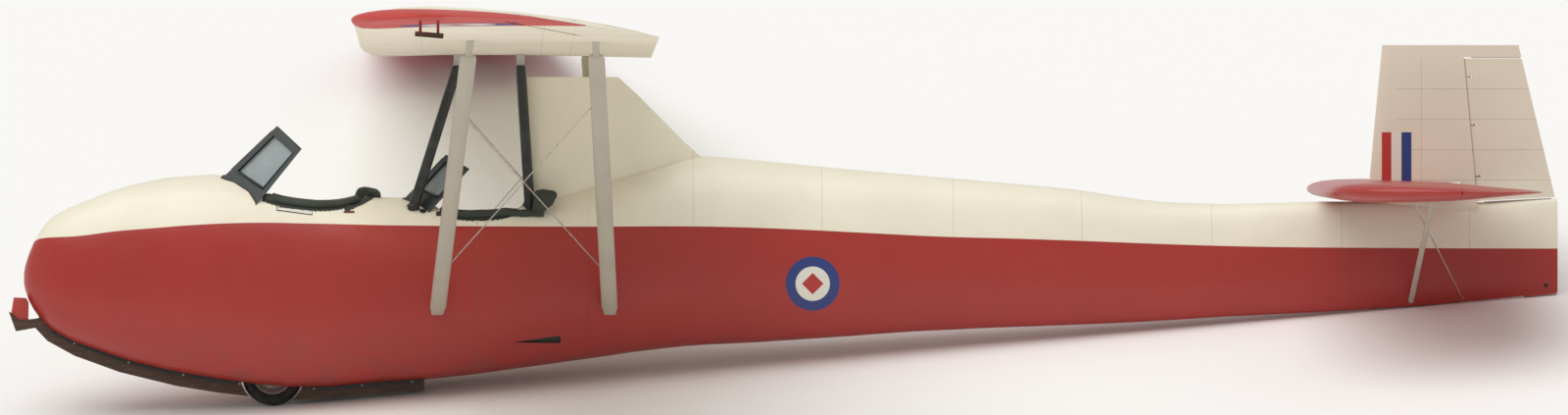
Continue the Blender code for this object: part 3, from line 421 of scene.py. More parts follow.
def hull_paint():
    """Brushed synthetic enamel over plywood: a smooth semi-gloss coat, cream above and red below."""
    made = Finish("brushed_enamel_on_plywood", Roughness=0.36, IOR=1.5, Coat_Weight=0.12,
                  Coat_Roughness=0.2)
    run = made.add("Math", made.x, HULL_LENGTH, operation="DIVIDE")
    edge = made.add("FloatCurve", Value=run)
    mapping = made.tree.nodes[-1].mapping
    mapping.curves[0].points[0].location = (0.0, BOUNDARY[0][1])
    mapping.curves[0].points[1].location = (1.0, BOUNDARY[-1][1])
    for x, z in BOUNDARY[1:-1]:
        mapping.curves[0].points.new(x / HULL_LENGTH, z)
    mapping.update()
    above = made.add("Math", made.z, edge, operation="SUBTRACT")
    cream = made.within(above, 0.0, FAR, 0.0012)
    base = made.add("MixRGB", cream, linear(RED), linear(CREAM))
    # Frames show through the skin as faint upright lines, and the two shells meet at a darker one
    frames = lines_at(made, made.x, FRAMES, 0.002)
    joint = lines_at(made, made.x, (SHELL_JOINT,), 0.0014)
    tall = made.within(made.z, JOINT_LOW, JOINT_HIGH, 0.01)
    joint = made.add("Math", joint, tall, operation="MULTIPLY")
    faint = made.add("Math", frames, 0.20, operation="MULTIPLY")
    drawn = made.add("Math", joint, 0.55, operation="MULTIPLY")
    marks = made.add("Math", faint, drawn, operation="ADD")
    base = made.add("MixRGB", marks, base, linear(PENCIL))
    base = brushed_tone(made, base)
    # Dust and scuffs thrown up by the wheel onto the belly
    low = made.add("MapRange", made.z, 0.08, 0.36, 1.0, 0.0)
    specks = made.add("TexNoise", made.level, Scale=9.0, Detail=6.0)
    specks = made.add("MapRange", specks, 0.45, 0.75, 0.0, 0.6)
    dust = made.add("Math", low, specks, operation="MULTIPLY")
    base = made.add("MixRGB", dust, base, linear("5f4438"))
    mark_x, mark_z, mark_radius = HULL_MARK
    across = made.add("Math", made.x, mark_x, operation="SUBTRACT")
    upward = made.add("Math", made.z, mark_z, operation="SUBTRACT")
    base = disc_marking(made, base, across, upward, mark_radius)
    gloss = made.add("TexNoise", made.level, Scale=14.0, Detail=4.0)
    made.link(Base_Color=base, Roughness=made.add("MapRange", gloss, 0.3, 0.7, 0.30, 0.44))
    # Brush marks run along the hull, 2 to 5 mm apart
    strokes = made.add("TexNoise", made.stretched(6, 60, 60), Scale=4.0, Detail=2.0)
    strokes = made.add("Math", strokes, 0.15, operation="MULTIPLY")
    return made.relief(made.add("Math", strokes, marks, operation="SUBTRACT"), 0.0006)


def rib_pattern(made, run, pitch, half_tape=0.0125):
    """Tape at each rib, the sink of the cloth between ribs, and the distance from the nearest rib."""
    turns = made.add("Math", run, pitch, operation="DIVIDE")
    share = made.add("Math", made.add("Math", turns, 100.5, operation="ADD"), operation="FRACT")
    offset = made.add("Math", made.add("Math", share, 0.5, operation="SUBTRACT"), operation="ABSOLUTE")
    away = made.add("Math", offset, pitch, operation="MULTIPLY")
    tape = made.within(away, -FAR, half_tape, 0.0015)
    phase = made.add("Math", away, 2 * math.pi / pitch, operation="MULTIPLY")
    return tape, made.add("Math", phase, operation="COSINE"), away


WING_RIB = 0.30
RED_TIP = 5.40
WING_SPAR = 1.900
WING_SEAMS = (WING_SPAR, 2.437, 2.572)
WING_MARK = (2.062, 5.68, 0.26)


def cloth_relief(made, tape, sink, share):
    """Tape stands 0.3 mm proud, cloth sinks 2 mm, and 1 mm threads are drawn at 5 mm, to show."""
    warp = made.add("Math", made.add("Math", made.x, 1250.0, operation="MULTIPLY"), operation="SINE")
    weft = made.add("Math", made.add("Math", made.y, 1250.0, operation="MULTIPLY"), operation="SINE")
    weave = made.add("Math", warp, weft, operation="MULTIPLY")
    weave = made.add("Math", weave, 0.04, operation="MULTIPLY")
    raised = made.add("Math", tape, 0.3, operation="MULTIPLY")
    sunk = made.add("Math", sink, share, operation="MULTIPLY")
    return made.add("Math", made.add("Math", weave, raised, operation="ADD"), sunk, operation="ADD")


def wing_fabric():
    """Doped linen over wooden ribs: painted taut cloth with a low sheen, taped along each rib."""
    made = Finish("doped_linen_on_wing", Roughness=0.57, IOR=1.48)
    reach = made.add("Math", made.y, operation="ABSOLUTE")
    tape, sink, away = rib_pattern(made, reach, WING_RIB)
    base = made.add("MixRGB", made.within(reach, RED_TIP, FAR), linear(CREAM), linear("c43d36"))
    base = brushed_tone(made, base)
    edge = made.add("Math", made.within(away, 0.0115, 0.0140, 0.001), 0.07, operation="MULTIPLY")
    seams = lines_at(made, made.x, WING_SEAMS)
    marks = made.add("Math", edge, made.add("Math", seams, 0.22, operation="MULTIPLY"), operation="ADD")
    base = made.add("MixRGB", marks, base, linear(PENCIL))
    mark_x, mark_y, mark_radius = WING_MARK
    across = made.add("Math", made.x, mark_x, operation="SUBTRACT")
    outboard = made.add("Math", reach, mark_y, operation="SUBTRACT")
    base = disc_marking(made, base, across, outboard, mark_radius)
    sheen = made.add("TexNoise", made.level, Scale=6.0, Detail=3.0)
    made.link(Base_Color=base, Roughness=made.add("MapRange", sheen, 0.3, 0.7, 0.50, 0.64))
    # The nose back to the spar is ply, where no cloth sinks
    open_bay = made.within(made.x, WING_SPAR, FAR, 0.02)
    sink = made.add("Math", sink, open_bay, operation="MULTIPLY")
    return made.relief(cloth_relief(made, tape, sink, 1.5), 0.0012)


def tail_fabric():
    """Doped linen on the tailplane, in red, with close ribs and a little more gloss."""
    made = Finish("doped_linen_on_tailplane", Roughness=0.36, IOR=1.48, Coat_Weight=0.1)
    tape, sink, away = rib_pattern(made, made.add("Math", made.y, operation="ABSOLUTE"), 0.21, 0.009)
    edge = made.add("Math", made.within(away, 0.008, 0.0100, 0.001), 0.12, operation="MULTIPLY")
    base = made.add("MixRGB", edge, brushed_tone(made, linear("a8342e")), linear("6d241f"))
    made.link(Base_Color=base)
    return made.relief(cloth_relief(made, tape, sink, 0.7), 0.001)


FIN_RIBS = (1.0330, 1.1727, 1.3122, 1.4513)
FIN_NOSE, FIN_SPAR = 6.366, 6.486
FIN_BARS = (
    (6.3035, 6.3475, MARK_RED), (6.3475, 6.3935, "e4dfd0"), (6.3935, 6.4395, MARK_BLUE),
)
BAR_LOW, BAR_HIGH = 1.0215, 1.252


def fin_fabric():
    """Doped linen on the fin and rudder, drawn over thin ribs that show as faint level lines."""
    made = Finish("doped_linen_on_fin", Roughness=0.42, IOR=1.48)
    base = brushed_tone(made, linear("e4d9c6"), 0.04)
    behind_nose = made.within(made.x, FIN_NOSE, FAR, 0.01)
    ribs = made.add("Math", lines_at(made, made.z, FIN_RIBS, 0.0017), behind_nose, operation="MULTIPLY")
    spar = lines_at(made, made.x, (FIN_SPAR,))
    spar = made.add("Math", spar, made.within(made.z, 0.94, 1.60, 0.01), operation="MULTIPLY")
    marks = made.add("Math", made.add("Math", ribs, spar, operation="ADD"), 0.26, operation="MULTIPLY")
    base = made.add("MixRGB", marks, base, linear(PENCIL))
    tall = made.within(made.z, BAR_LOW, BAR_HIGH)
    for low, high, code in FIN_BARS:
        bar = made.add("Math", tall, made.within(made.x, low, high), operation="MULTIPLY")
        base = made.add("MixRGB", bar, base, linear(code))
    made.link(Base_Color=base)
    return made.relief(cloth_relief(made, ribs, 0.0, 0.0), 0.001)


def strut_paint():
    """Streamlined steel tube in brushed-on cream enamel, chipped a little where it is handled."""
    made = Finish("enamel_on_strut_tube", Roughness=0.38, IOR=1.5)
    chips = made.add("TexNoise", made.level, Scale=55.0, Detail=5.0)
    bare = made.add("Math", made.within(chips, 0.74, FAR, 0.01), 0.35, operation="MULTIPLY")
    base = brushed_tone(made, linear("b8b1a1"), 0.06)
    made.link(Base_Color=made.add("MixRGB", bare, base, linear("5e5a52")))
    return made.relief(made.add("TexNoise", made.level, Scale=140.0, Detail=2.0), 0.0002)


CABANE_TOP = 1.5585  # where the black enamel ends and the lugs begin


def cabane_enamel():
    """Stoved black enamel on steel tube, with its upper lugs left in bare grey primer."""
    made = Finish("stoved_enamel_on_tube", Roughness=0.35, IOR=1.5)
    rubbed = made.add("TexNoise", made.level, Scale=18.0, Detail=5.0)
    share = made.add("MapRange", rubbed, 0.5, 0.8, 0.0, 0.35)
    base = made.add("MixRGB", share, linear("2b2c29"), linear("5b5f58"))
    base = made.add("MixRGB", made.within(made.z, CABANE_TOP, FAR), base, linear("b9b7b0"))
    wear = made.add("TexNoise", made.level, Scale=30.0, Detail=4.0)
    made.link(Base_Color=base, Roughness=made.add("MapRange", wear, 0.3, 0.7, 0.27, 0.49))
    return made.relief(made.add("TexNoise", made.level, Scale=220.0, Detail=2.0), 0.00015)


def worn_steel(name, code, rough=0.32):
    """Drawn or worn mild steel: grey, satin, with brownish wear."""
    made = Finish(name, Metallic=1.0)
    wear = made.add("TexNoise", made.level, Scale=40.0, Detail=5.0)
    share = made.add("MapRange", wear, 0.4, 0.75, 0.0, 0.5)
    fine = made.add("TexNoise", made.level, Scale=70.0, Detail=4.0)
    made.link(Base_Color=made.add("MixRGB", share, linear(code), linear("5d554c")),
              Roughness=made.add("MapRange", fine, 0.3, 0.7, rough - 0.06, rough + 0.16))
    return made.relief(made.add("TexNoise", made.level, Scale=300.0, Detail=2.0), 0.0001)


def plywood():
    """Varnished birch plywood: fine long grain, 2 to 4 mm wide, under a satin varnish."""
    made = Finish("varnished_birch_plywood", Roughness=0.42, IOR=1.5, Coat_Weight=0.25,
                  Coat_Roughness=0.25)
    broad = made.add("TexNoise", made.stretched(1, 22, 22), Scale=5.0, Detail=7.0)
    fine = made.add("TexNoise", made.stretched(1, 14, 14), Scale=30.0, Detail=3.0)
    grain = made.add("MixRGB", 0.3, broad, fine)
    share = made.add("MapRange", grain, 0.38, 0.66, 0.0, 1.0)
    made.link(Base_Color=made.add("MixRGB", share, linear("b98d57"), linear("8a6238")))
    return made.relief(grain, 0.0003)


TIP_RUNNER_TOP = 1.700


def skid_wood():
    """Steam-bent ash in dark stain, scuffed paler on the sole; the tip skids' posts are red."""
    made = Finish("stained_ash", Roughness=0.62, IOR=1.5)
    grain = made.add("TexNoise", made.stretched(1, 26, 26), Scale=7.0, Detail=7.0)
    share = made.add("MapRange", grain, 0.36, 0.66, 0.0, 1.0)
    base = made.add("MixRGB", share, linear("513a2a"), linear("38281e"))
    scuffs = made.add("TexNoise", made.stretched(1, 3, 3), Scale=26.0, Detail=6.0)
    worn = made.add("Math", made.within(scuffs, 0.62, FAR, 0.03), 0.25, operation="MULTIPLY")
    base = made.add("MixRGB", worn, base, linear("7d654d"))
    base = made.add("MixRGB", made.within(made.z, TIP_RUNNER_TOP, FAR), base, linear("9c342e"))
    made.link(Base_Color=base)
    return made.relief(grain, 0.0009)


def leathercloth():
    """Coated cotton over felt and hair: a pebbled 3 mm grain and a low sheen, paler where rubbed."""
    made = Finish("padded_leathercloth", Roughness=0.55, IOR=1.48)
    cells = made.add("TexVoronoi", made.level, feature="DISTANCE_TO_EDGE", Scale=330.0)
    rubbed = made.add("TexNoise", made.level, Scale=9.0, Detail=4.0)
    share = made.add("MapRange", rubbed, 0.45, 0.8, 0.0, 0.4)
    made.link(Base_Color=made.add("MixRGB", share, linear("394037"), linear("585e52")))
    return made.relief(made.add("MapRange", cells, 0.0, 0.12, 0.0, 1.0), 0.0006)


def webbing():
    """Woven nylon harness strap: a slanting twill, drawn at 7 mm so that it shows."""
    made = Finish("woven_nylon_webbing", Roughness=0.8, Sheen_Weight=0.3)
    slant = made.add("Math", made.y, 2.0, operation="MULTIPLY")
    slant = made.add("Math", made.x, slant, operation="ADD")
    twill = made.add("Math", made.add("Math", slant, 900.0, operation="MULTIPLY"), operation="SINE")
    share = made.add("MapRange", twill, -1.0, 1.0, 0.0, 1.0)
    made.link(Base_Color=made.add("MixRGB", share, linear("5d6a58"), linear("79836c")))
    return made.relief(twill, 0.0005)


GROOVE_PITCH = 0.011


def tyre_rubber():
    """Moulded tyre rubber with shallow grooves round the tread, 11 mm apart, and dust in them."""
    made = Finish("ribbed_tyre_rubber", Roughness=0.82)
    turns = made.add("Math", made.y, 2 * math.pi / GROOVE_PITCH, operation="MULTIPLY")
    wave = made.add("Math", turns, operation="SINE")
    ribs = made.add("Math", wave, made.within(made.y, -0.024, 0.024, 0.002), operation="MULTIPLY")
    pits = made.add("TexNoise", made.level, Scale=180.0, Detail=2.0)
    specks = made.add("TexNoise", made.level, Scale=35.0, Detail=5.0)
    dust = made.add("MapRange", specks, 0.45, 0.8, 0.0, 0.4)
    made.link(Base_Color=made.add("MixRGB", dust, linear("1e201e"), linear("4d4a42")))
    return made.relief(made.add("Math", ribs, pits, operation="ADD"), 0.0012)


def sprayed_enamel(name, code, rough, spot):
    """Sprayed enamel with a slight orange peel and dull marks."""
    made = Finish(name, Roughness=rough, IOR=1.5)
    marks = made.add("TexNoise", made.level, Scale=24.0, Detail=5.0)
    worn = made.add("MapRange", marks, 0.5, 0.8, 0.0, 0.35)
    made.link(Base_Color=made.add("MixRGB", worn, linear(code), linear(spot)))
    return made.relief(made.add("TexNoise", made.level, Scale=260.0, Detail=2.0), 0.00012)


def clear_acrylic():
    """Aged clear acrylic sheet: a grey cast and fine wiping scratches, with most light let through."""
    made = Finish("clear_acrylic", Roughness=0.08, IOR=1.49, Alpha=0.58)
    haze = made.add("TexNoise", made.level, Scale=12.0, Detail=5.0)
    share = made.add("MapRange", haze, 0.3, 0.75, 0.0, 1.0)
    rough = made.add("TexNoise", made.level, Scale=50.0, Detail=4.0)
    made.link(Base_Color=made.add("MixRGB", share, linear("93a0a4"), linear("a8b1b1")),
              Roughness=made.add("MapRange", rough, 0.3, 0.8, 0.05, 0.2))
    return made.material


PAINT = {
    "painted_plywood": hull_paint(),
    "doped_fabric_cream": wing_fabric(),
    "doped_fabric_red": tail_fabric(),
    "painted_fin": fin_fabric(),
    "painted_strut": strut_paint(),
    "dark_enamel": cabane_enamel(),
    "bare_steel": worn_steel("worn_mild_steel", "96928c"),
    "bracing_wire": worn_steel("stranded_steel_wire", "cdc8c0", 0.4),
    "varnished_plywood": plywood(),
    "panel_enamel": sprayed_enamel("wrinkle_enamel_black", "26282a", 0.55, "3b3d3e"),
    "padded_leather": leathercloth(),
    "windscreen_enamel": sprayed_enamel("stoved_enamel_on_screen_frame", "28312e", 0.4, "3e4642"),
    "clear_sheet": clear_acrylic(),
    "skid_ash": skid_wood(),
    "red_rubber": sprayed_enamel("painted_rubber_red", "b03a33", 0.5, "7c3a34"),
    "tyre_rubber": tyre_rubber(),
    "hub_enamel": sprayed_enamel("enamel_on_cast_hub", "857069", 0.5, "5c504b"),
}
LACING = sprayed_enamel("dyed_lacing_leather", "2c322d", 0.6, "454b43")
CLOTH_STRAP = webbing()
WHITE_ENAMEL = sprayed_enamel("white_enamel_plate", "dfdcd0", 0.4, "b9b4a6")
BLACK_ENAMEL = sprayed_enamel("black_enamel_plate", "1f211f", 0.45, "3c3f3b")
# Painted shade: a dark green-black for the inside of the cable slot, standing for the shade in that
# recess
SHADOW_GREEN = sprayed_enamel("painted_shade_in_slot", "2c332e", 0.7, "20251f")
BROWN_LEATHER = sprayed_enamel("brown_tab_leather", "6a3a30", 0.6, "4a2b24")
SHOE_ENAMEL = sprayed_enamel("red_enamel_on_tail_shoe", RED, 0.45, "6d3a34")
SEAL_RUBBER = sprayed_enamel("buff_seal_rubber", "a2968a", 0.7, "80766c")


# The hard solids, coated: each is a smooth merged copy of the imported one

SOFT = ("headrest_front", "coaming_front_port", "coaming_front_starboard", "coaming_rear_port",
        "coaming_rear_starboard", "seat_front", "seat_rear")
EASED = {  # how far the sharp edges of some pieces are rounded
    "nose_block": 0.006, "nose_skid": 0.003, "rear_skid": 0.002, "tail_shoe": 0.003,
    "instrument_panel_front": 0.002, "instrument_panel_rear": 0.002,
}
SHELLS = dict(zip(SHELL_NODES, (0.55, 0.60, 0.60)))  # the height of each shell's middle
BULKHEAD_END = 2.70
STRUT_FOOT = 0.418


def line_inside(item, axis_height):
    """Gives the faces that look into the hull the bare varnished ply."""
    item.data.materials.append(PAINT["varnished_plywood"])
    for face in item.data.polygons:
        normal = LEVEL.to_3x3() @ face.normal
        spot = LEVEL @ face.center
        inwards = normal.y * -spot.y + normal.z * (axis_height - spot.z)
        bulkhead = normal.x < -0.9 and spot.x < BULKHEAD_END and axis_height == 0.60
        if bulkhead or inwards > 0.02 and abs(normal.x) < 0.9:
            face.material_index = 1


def wedge_pocket(item):
    """Cuts the small cable slot behind the rear cockpit, 11 mm into the port side; its cut faces take a
    dark green-black that is painted shade.
    """
    profile = [(2.308, 0.2925), (2.380, 0.3025), (2.450, 0.3120), (2.525, 0.3230), (2.532, 0.3065),
               (2.525, 0.2885), (2.450, 0.2900), (2.380, 0.2910)]
    corners = [on_side(x, z, -1)[0] + Vector((0, shift, 0))
               for shift in (-0.02, 0.011) for x, z in profile]
    count = len(profile)
    sides = [(i, (i + 1) % count, (i + 1) % count + count, i + count) for i in range(count)]
    ends = [tuple(range(count)), tuple(range(2 * count - 1, count - 1, -1))]
    mesh = bpy.data.meshes.new("wedge")
    mesh.from_pydata(corners, [], sides + ends)
    # The cutter carries the painted shade, which passes to the slot's cut faces
    mesh.materials.append(SHADOW_GREEN)
    cutter = bpy.data.objects.new("wedge", mesh)
    bpy.context.scene.collection.objects.link(cutter)
    outward(cutter)
    cutter.data.transform(PARKED)
    modify(item, "BOOLEAN", operation="DIFFERENCE", solver="EXACT", object=cutter,
           material_mode="TRANSFER")
    bpy.data.objects.remove(cutter, do_unlink=True)


def square_off(item):
    """Cuts a strut's foot off level, and closes it."""
    choose_faces(item, lambda centre, normal: True)
    foot, up = PARKED @ Vector((0, 0, STRUT_FOOT)), PARKED.to_3x3() @ Vector((0, 0, 1))
    bpy.ops.mesh.bisect(plane_co=foot, plane_no=up, use_fill=True, clear_inner=True)
    leave_edit()


for node, slot in SLOTS.items():
    if node in SOFT:
        continue
    skin = coat(own_copy(node), SHOE_ENAMEL if node == "tail_shoe" else PAINT[slot])
    if node in SHELLS:
        line_inside(skin, SHELLS[node])
    if node == "fuselage_centre_shell":
        wedge_pocket(skin)
    if node.startswith("lift_strut"):
        square_off(skin)
    if node in EASED:
        round_edges(skin, EASED[node])
    replace_node(skin, node)


# Soft goods: stuffed pads, swollen as cloth and held where they lie on wood

PRESSURE = 4
MOMENTS = 20


def swell(item, reach, hold):
    """Inflates a pad like cloth over stuffing; a point goes no further than its share of the reach."""
    rest = [vertex.co.copy() for vertex in item.data.vertices]
    cloth = item.modifiers.new("cloth", "CLOTH")
    cloth.settings.use_pressure = True
    cloth.settings.uniform_pressure_force = PRESSURE
    cloth.settings.effector_weights.gravity = 0
    for moment in range(1, MOMENTS + 1):
        bpy.context.scene.frame_set(moment)
    apply_all(item)
    bpy.context.scene.frame_set(1)
    for vertex, place in zip(item.data.vertices, rest):
        step = vertex.co - place
        limit = reach * max(0.0, min(1.0, hold(place)))
        vertex.co = place + step * min(1.0, limit / max(step.length, 1e-9))
    return item


def rolled(node, passes=6):
    """Leathercloth over sponge, drawn tight on its ply."""
    item = own_copy(node)
    modify(item, "REMESH", mode="VOXEL", voxel_size=0.005)
    modify(item, "SMOOTH", factor=0.5, iterations=passes)
    return coat(item, PAINT["padded_leather"])


for node in SOFT:
    if node.startswith("coaming"):
        rim = replace_node(rolled(node), node, 80)

REST_FOOT = 0.930  # below this height the headrest is held by the deck
rest = rolled("headrest_front", 5)
swell(rest, 0.005, lambda place: ((LEVEL @ place).z - REST_FOOT) / 0.03)
replace_node(rest, "headrest_front", 80)

for node in ("seat_front", "seat_rear"):
    wood = coat(own_copy(node), PAINT[SLOTS[node]])
    replace_node(round_edges(wood, 0.003), node)


def cushion(name, long, half, thick, place):
    """A crowned loose cushion, flat where it lies on its board; gives its form for the straps."""
    item = box((0, -half, 0), (long, half, thick))
    round_edges(item, 0.014, 3)
    modify(item, "REMESH", mode="VOXEL", voxel_size=0.008)
    modify(item, "SMOOTH", factor=0.5, iterations=4)
    swell(item, 0.010, lambda spot: spot.z / thick)
    for vertex in item.data.vertices:
        vertex.co.z = max(vertex.co.z, 0.0)
    modify(item, "SUBSURF", levels=1, render_levels=1)
    form = BVHTree.FromObject(item, bpy.context.evaluated_depsgraph_get())
    item.data.transform(place)
    finished(item, name, PAINT["padded_leather"], angle=80)
    return form


WEB_HALF = 0.021
WEB_THICK = 0.0018
WEB_LIFT = 0.0022
WEB_BEND = 0.003  # how far an edge may lie below the middle


def strap(form, line, place):
    """Webbing laid over a cushion along (x, y, least height) points."""
    rows = []
    points = [Vector(point) for point in line]
    for before, here, after in zip([points[0], *points], points, [*points[1:], points[-1]]):
        way = (after - before).normalized()
        aside = Vector((-way.y, way.x, 0)).normalized() * WEB_HALF
        row = []
        for spot in (here - aside, here, here + aside):
            hit, _, _, _ = form.ray_cast(Vector((spot.x, spot.y, 1)), Vector((0, 0, -1)))
            row.append(Vector((spot.x, spot.y, max(here.z, hit.z + WEB_LIFT if hit else 0))))
        level = max(point.z for point in row)
        rows.append([Vector((point.x, point.y, max(point.z, level - WEB_BEND))) for point in row])
    item = layered(rows, WEB_THICK)
    item.data.transform(place)
    return item


def board_place(x, z, along):
    """The turn and place of a cushion on a board that runs from (x, z) along a direction."""
    run = Vector((along[0], 0, along[1])).normalized()
    across = Vector((0, 1, 0))
    turn = Matrix((run, across, run.cross(across))).transposed().to_4x4()
    return Matrix.Translation((x, 0, z)) @ turn


def eased(start, end, count):
    return [start.lerp(end, i / count) for i in range(count + 1)]


for seat, riser in (("front", 1.385), ("rear", 2.130)):
    pan = board_place(riser + 0.010, 0.3375, (0.225, -0.0235))
    back = board_place(riser + 0.2285, 0.355, (0.078, 0.4895))
    pan_form = cushion("seat_cushion_" + seat, 0.178, 0.165, 0.045, pan)
    back_form = cushion("back_cushion_" + seat, 0.400, 0.160, 0.034, back)
    webs = []
    for side in SIDES:
        lap = [Vector((0.150, side * 0.186, 0.006)), Vector((0.149, side * 0.176, 0.030))]
        lap += eased(Vector((0.147, side * 0.166, 0.030)), Vector((0.098, side * 0.030, 0.040)), 8)
        webs.append(strap(pan_form, lap, pan))
        shoulder = eased(Vector((0.045, side * 0.040, 0.002)), Vector((0.395, side * 0.085, 0.002)), 16)
        shoulder += [Vector((0.418, side * 0.086, 0.018)), Vector((0.452, side * 0.087, 0.0065))]
        webs.append(strap(back_form, shoulder, back))
    finished(joined(webs), "harness_webbing_" + seat, CLOTH_STRAP)
    plate = round_edges(box((0.072, -0.030, 0.056), (0.122, 0.030, 0.062)), 0.002)
    knob = turned([(0, 0), (0.016, 0), (0.016, 0.005), (0.012, 0.008), (0, 0.009)], 24)
    knob.data.transform(Matrix.Translation((0.097, 0, 0.061)))
    buckle = joined([plate, knob])
    buckle.data.transform(pan)
    finished(buckle, "harness_buckle_" + seat, PAINT["bare_steel"])


# Cockpit fittings: dials, stick grips

def dial(radius, needle):
    """A round instrument: a bezel, a dark face, and its marks with a needle."""
    edge = [(radius - 0.007, 0.001), (radius, 0.001), (radius, 0.007), (radius - 0.003, 0.009),
            (radius - 0.007, 0.006), (radius - 0.007, 0.001)]
    face = turned([(0, 0.0008), (radius - 0.0065, 0.0008), (radius - 0.0065, 0.003), (0, 0.003)], 28)
    marks = []
    tick = box((radius - 0.015, -0.0008, 0.0028), (radius - 0.009, 0.0008, 0.0036))
    for step in range(1, 12):
        mark = twin(tick)
        mark.data.transform(Matrix.Rotation(math.radians(270 - 30 * step), 4, "Z"))
        marks.append(mark)
    bpy.data.objects.remove(tick, do_unlink=True)
    hand = box((-0.006, -0.0011, 0.0036), (radius - 0.013, 0.0011, 0.0044))
    hand.data.transform(Matrix.Rotation(math.radians(needle), 4, "Z"))
    return joined([turned(edge, 28), face]), joined([*marks, hand])


AFT = Vector((1, 0, 0))
for panel, x, faces in (
    ("front", 0.997, [(0, 0.905, 0.040, 250), (-0.115, 0.900, 0.040, 200), (0.115, 0.900, 0.040, 90),
                      (-0.060, 0.805, 0.028, 270), (0.060, 0.805, 0.028, 180)]),
    ("rear", 1.892, [(0, 0.845, 0.040, 250), (-0.110, 0.838, 0.040, 200), (0.110, 0.838, 0.040, 90),
                     (-0.055, 0.748, 0.028, 270), (0.055, 0.748, 0.028, 180)]),
):
    bezels, markings = [], []
    for y, z, radius, needle in faces:
        bezel, marks = dial(radius, needle)
        bezels.append(stand(bezel, (x, y, z), AFT))
        markings.append(stand(marks, (x, y, z), AFT, math.radians(90)))
    finished(joined(bezels), "dials_" + panel, BLACK_ENAMEL)
    finished(joined(markings), "dial_marks_" + panel, WHITE_ENAMEL)

GRIP_LENGTH = 0.092
GRIP = [(0, 0)] + [(0.0172 + 0.0022 * (i % 2), 0.004 + 0.006 * i) for i in range(14)]
GRIP += [(0.017, 0.090), (0.010, 0.096), (0, 0.097)]
STICKS = (
    ("front", (1.290, 0, 0.308), (1.235, 0, 0.640)),
    ("rear", (2.010, 0, 0.215), (1.985, 0, 0.640)),
)
for name, foot, top in STICKS:
    rise = Vector(top) - Vector(foot)
    sleeve = stand(turned(GRIP, 20), Vector(top) - rise.normalized() * GRIP_LENGTH, rise)
    finished(sleeve, "stick_grip_" + name, BLACK_ENAMEL)


# Windscreens: a beading round each pane, and a laced leather flange on the deck

# For each screen: the foot of its front and of its side, the way each leans from there, and the half
# width at each foot
SCREENS = (
    ("front", (0.990, 1.053), (1.160, 0.950), (0.240, 0, 0.228), (0.181, 0.0285, 0.225), 0.110, 0.252),
    ("rear", (1.840, 0.975), (1.965, 0.925), (0.165, 0, 0.175), (0.147, 0.0014, 0.158), 0.090, 0.215),
)
PANE_INSET = 0.030
PANE_LOW, PANE_HIGH = 0.16, 0.87
BEAD_STAND = 0.0012
BEAD_INNER, BEAD_OUTER = 0.001, 0.012
LACE_STEP = 0.0095
FLAP_LIFT, FLAP_THICK = 0.0016, 0.0022


def screen_point(screen, x, y, share):
    _, base_front, base_side, front_lean, side_lean, _, _ = screen
    fall = (x - base_front[0]) / (base_side[0] - base_front[0])
    z = base_front[1] + (base_side[1] - base_front[1]) * fall
    lean = Vector(front_lean).lerp(Vector(side_lean), fall)
    hand = 1 if y > 0 else -1
    return Vector((x + share * lean.x, y - hand * share * lean.y, z + share * lean.z))


for screen in SCREENS:
    name, base_front, base_side, front_lean, side_lean, half_front, half_side = screen
    line = [Vector((base_side[0], -half_side)), Vector((base_front[0], -half_front)),
            Vector((base_front[0], half_front)), Vector((base_side[0], half_side))]
    beads = []
    for a, b in zip(line, line[1:]):
        run = (b - a).normalized()
        first, last = a + run * PANE_INSET, b - run * PANE_INSET
        corners = [screen_point(screen, p.x, p.y, share) for p, share in
                   ((first, PANE_LOW), (last, PANE_LOW), (last, PANE_HIGH), (first, PANE_HIGH))]
        middle = sum(corners, Vector()) / 4
        out = (corners[1] - corners[0]).cross(corners[3] - corners[0]).normalized()
        out *= BEAD_STAND if out.x < 0 else -BEAD_STAND
        inner = [corner + (corner - middle).normalized() * BEAD_INNER for corner in corners]
        outer = [corner + (corner - middle).normalized() * BEAD_OUTER for corner in corners]
        rows = [[p + out, q + out] for p, q in zip(inner, outer)]
        beads.append(layered([*rows, rows[0]], 0.002))
    finished(joined(beads), "windscreen_beading_" + name, PAINT["windscreen_enamel"], angle=20)

    rows, gone = [], 0.0
    for a, b in zip(line, line[1:]):
        run = (b - a).normalized()
        out = Vector((run.y, -run.x))
        steps = max(4, round((b - a).length / LACE_STEP))
        for i in range(steps + (b is line[-1])):
            spot = a.lerp(b, i / steps)
            high = screen_point(screen, spot.x, spot.y, 0.6)
            low = screen_point(screen, spot.x, spot.y, -0.3)
            foot, normal, _, _ = hull_tree.ray_cast(high, (low - high).normalized())
            if foot is None:
                continue
            tab = 0.008 if int(gone / LACE_STEP) % 4 < 2 else 0.005
            row = []
            for width in (-0.003, tab / 2, tab):
                way = out if out.x < 0 or abs(spot.y) > half_front else Vector((-1, 0))
                point, up = on_deck(foot.x + way.x * width, foot.y + way.y * width)
                row.append(point + up * FLAP_LIFT)
            rows.append(row)
            gone += (b - a).length / steps
    finished(layered(rows, FLAP_THICK), "windscreen_flange_" + name, LACING)


# Coaming: the flap that laces each rolled rim to the ply, and the headrest's skirt

def rim_point(opening, share, grow):
    """A plan point at a share of the way from an opening's rear centre to its front."""
    front, rear, half_width, squareness = opening
    across, back = math.sin(math.pi * share), math.cos(math.pi * share)
    power = 2 / squareness
    x = (front + rear) / 2 + math.copysign(abs(back) ** power, back) * ((rear - front) / 2 + grow)
    return x, abs(across) ** power * (half_width + grow)


FRONT_RIM = (1.022, 1.650, 0.240, 2.6)
REAR_RIM = (1.925, 2.415, 0.240, 3.2)


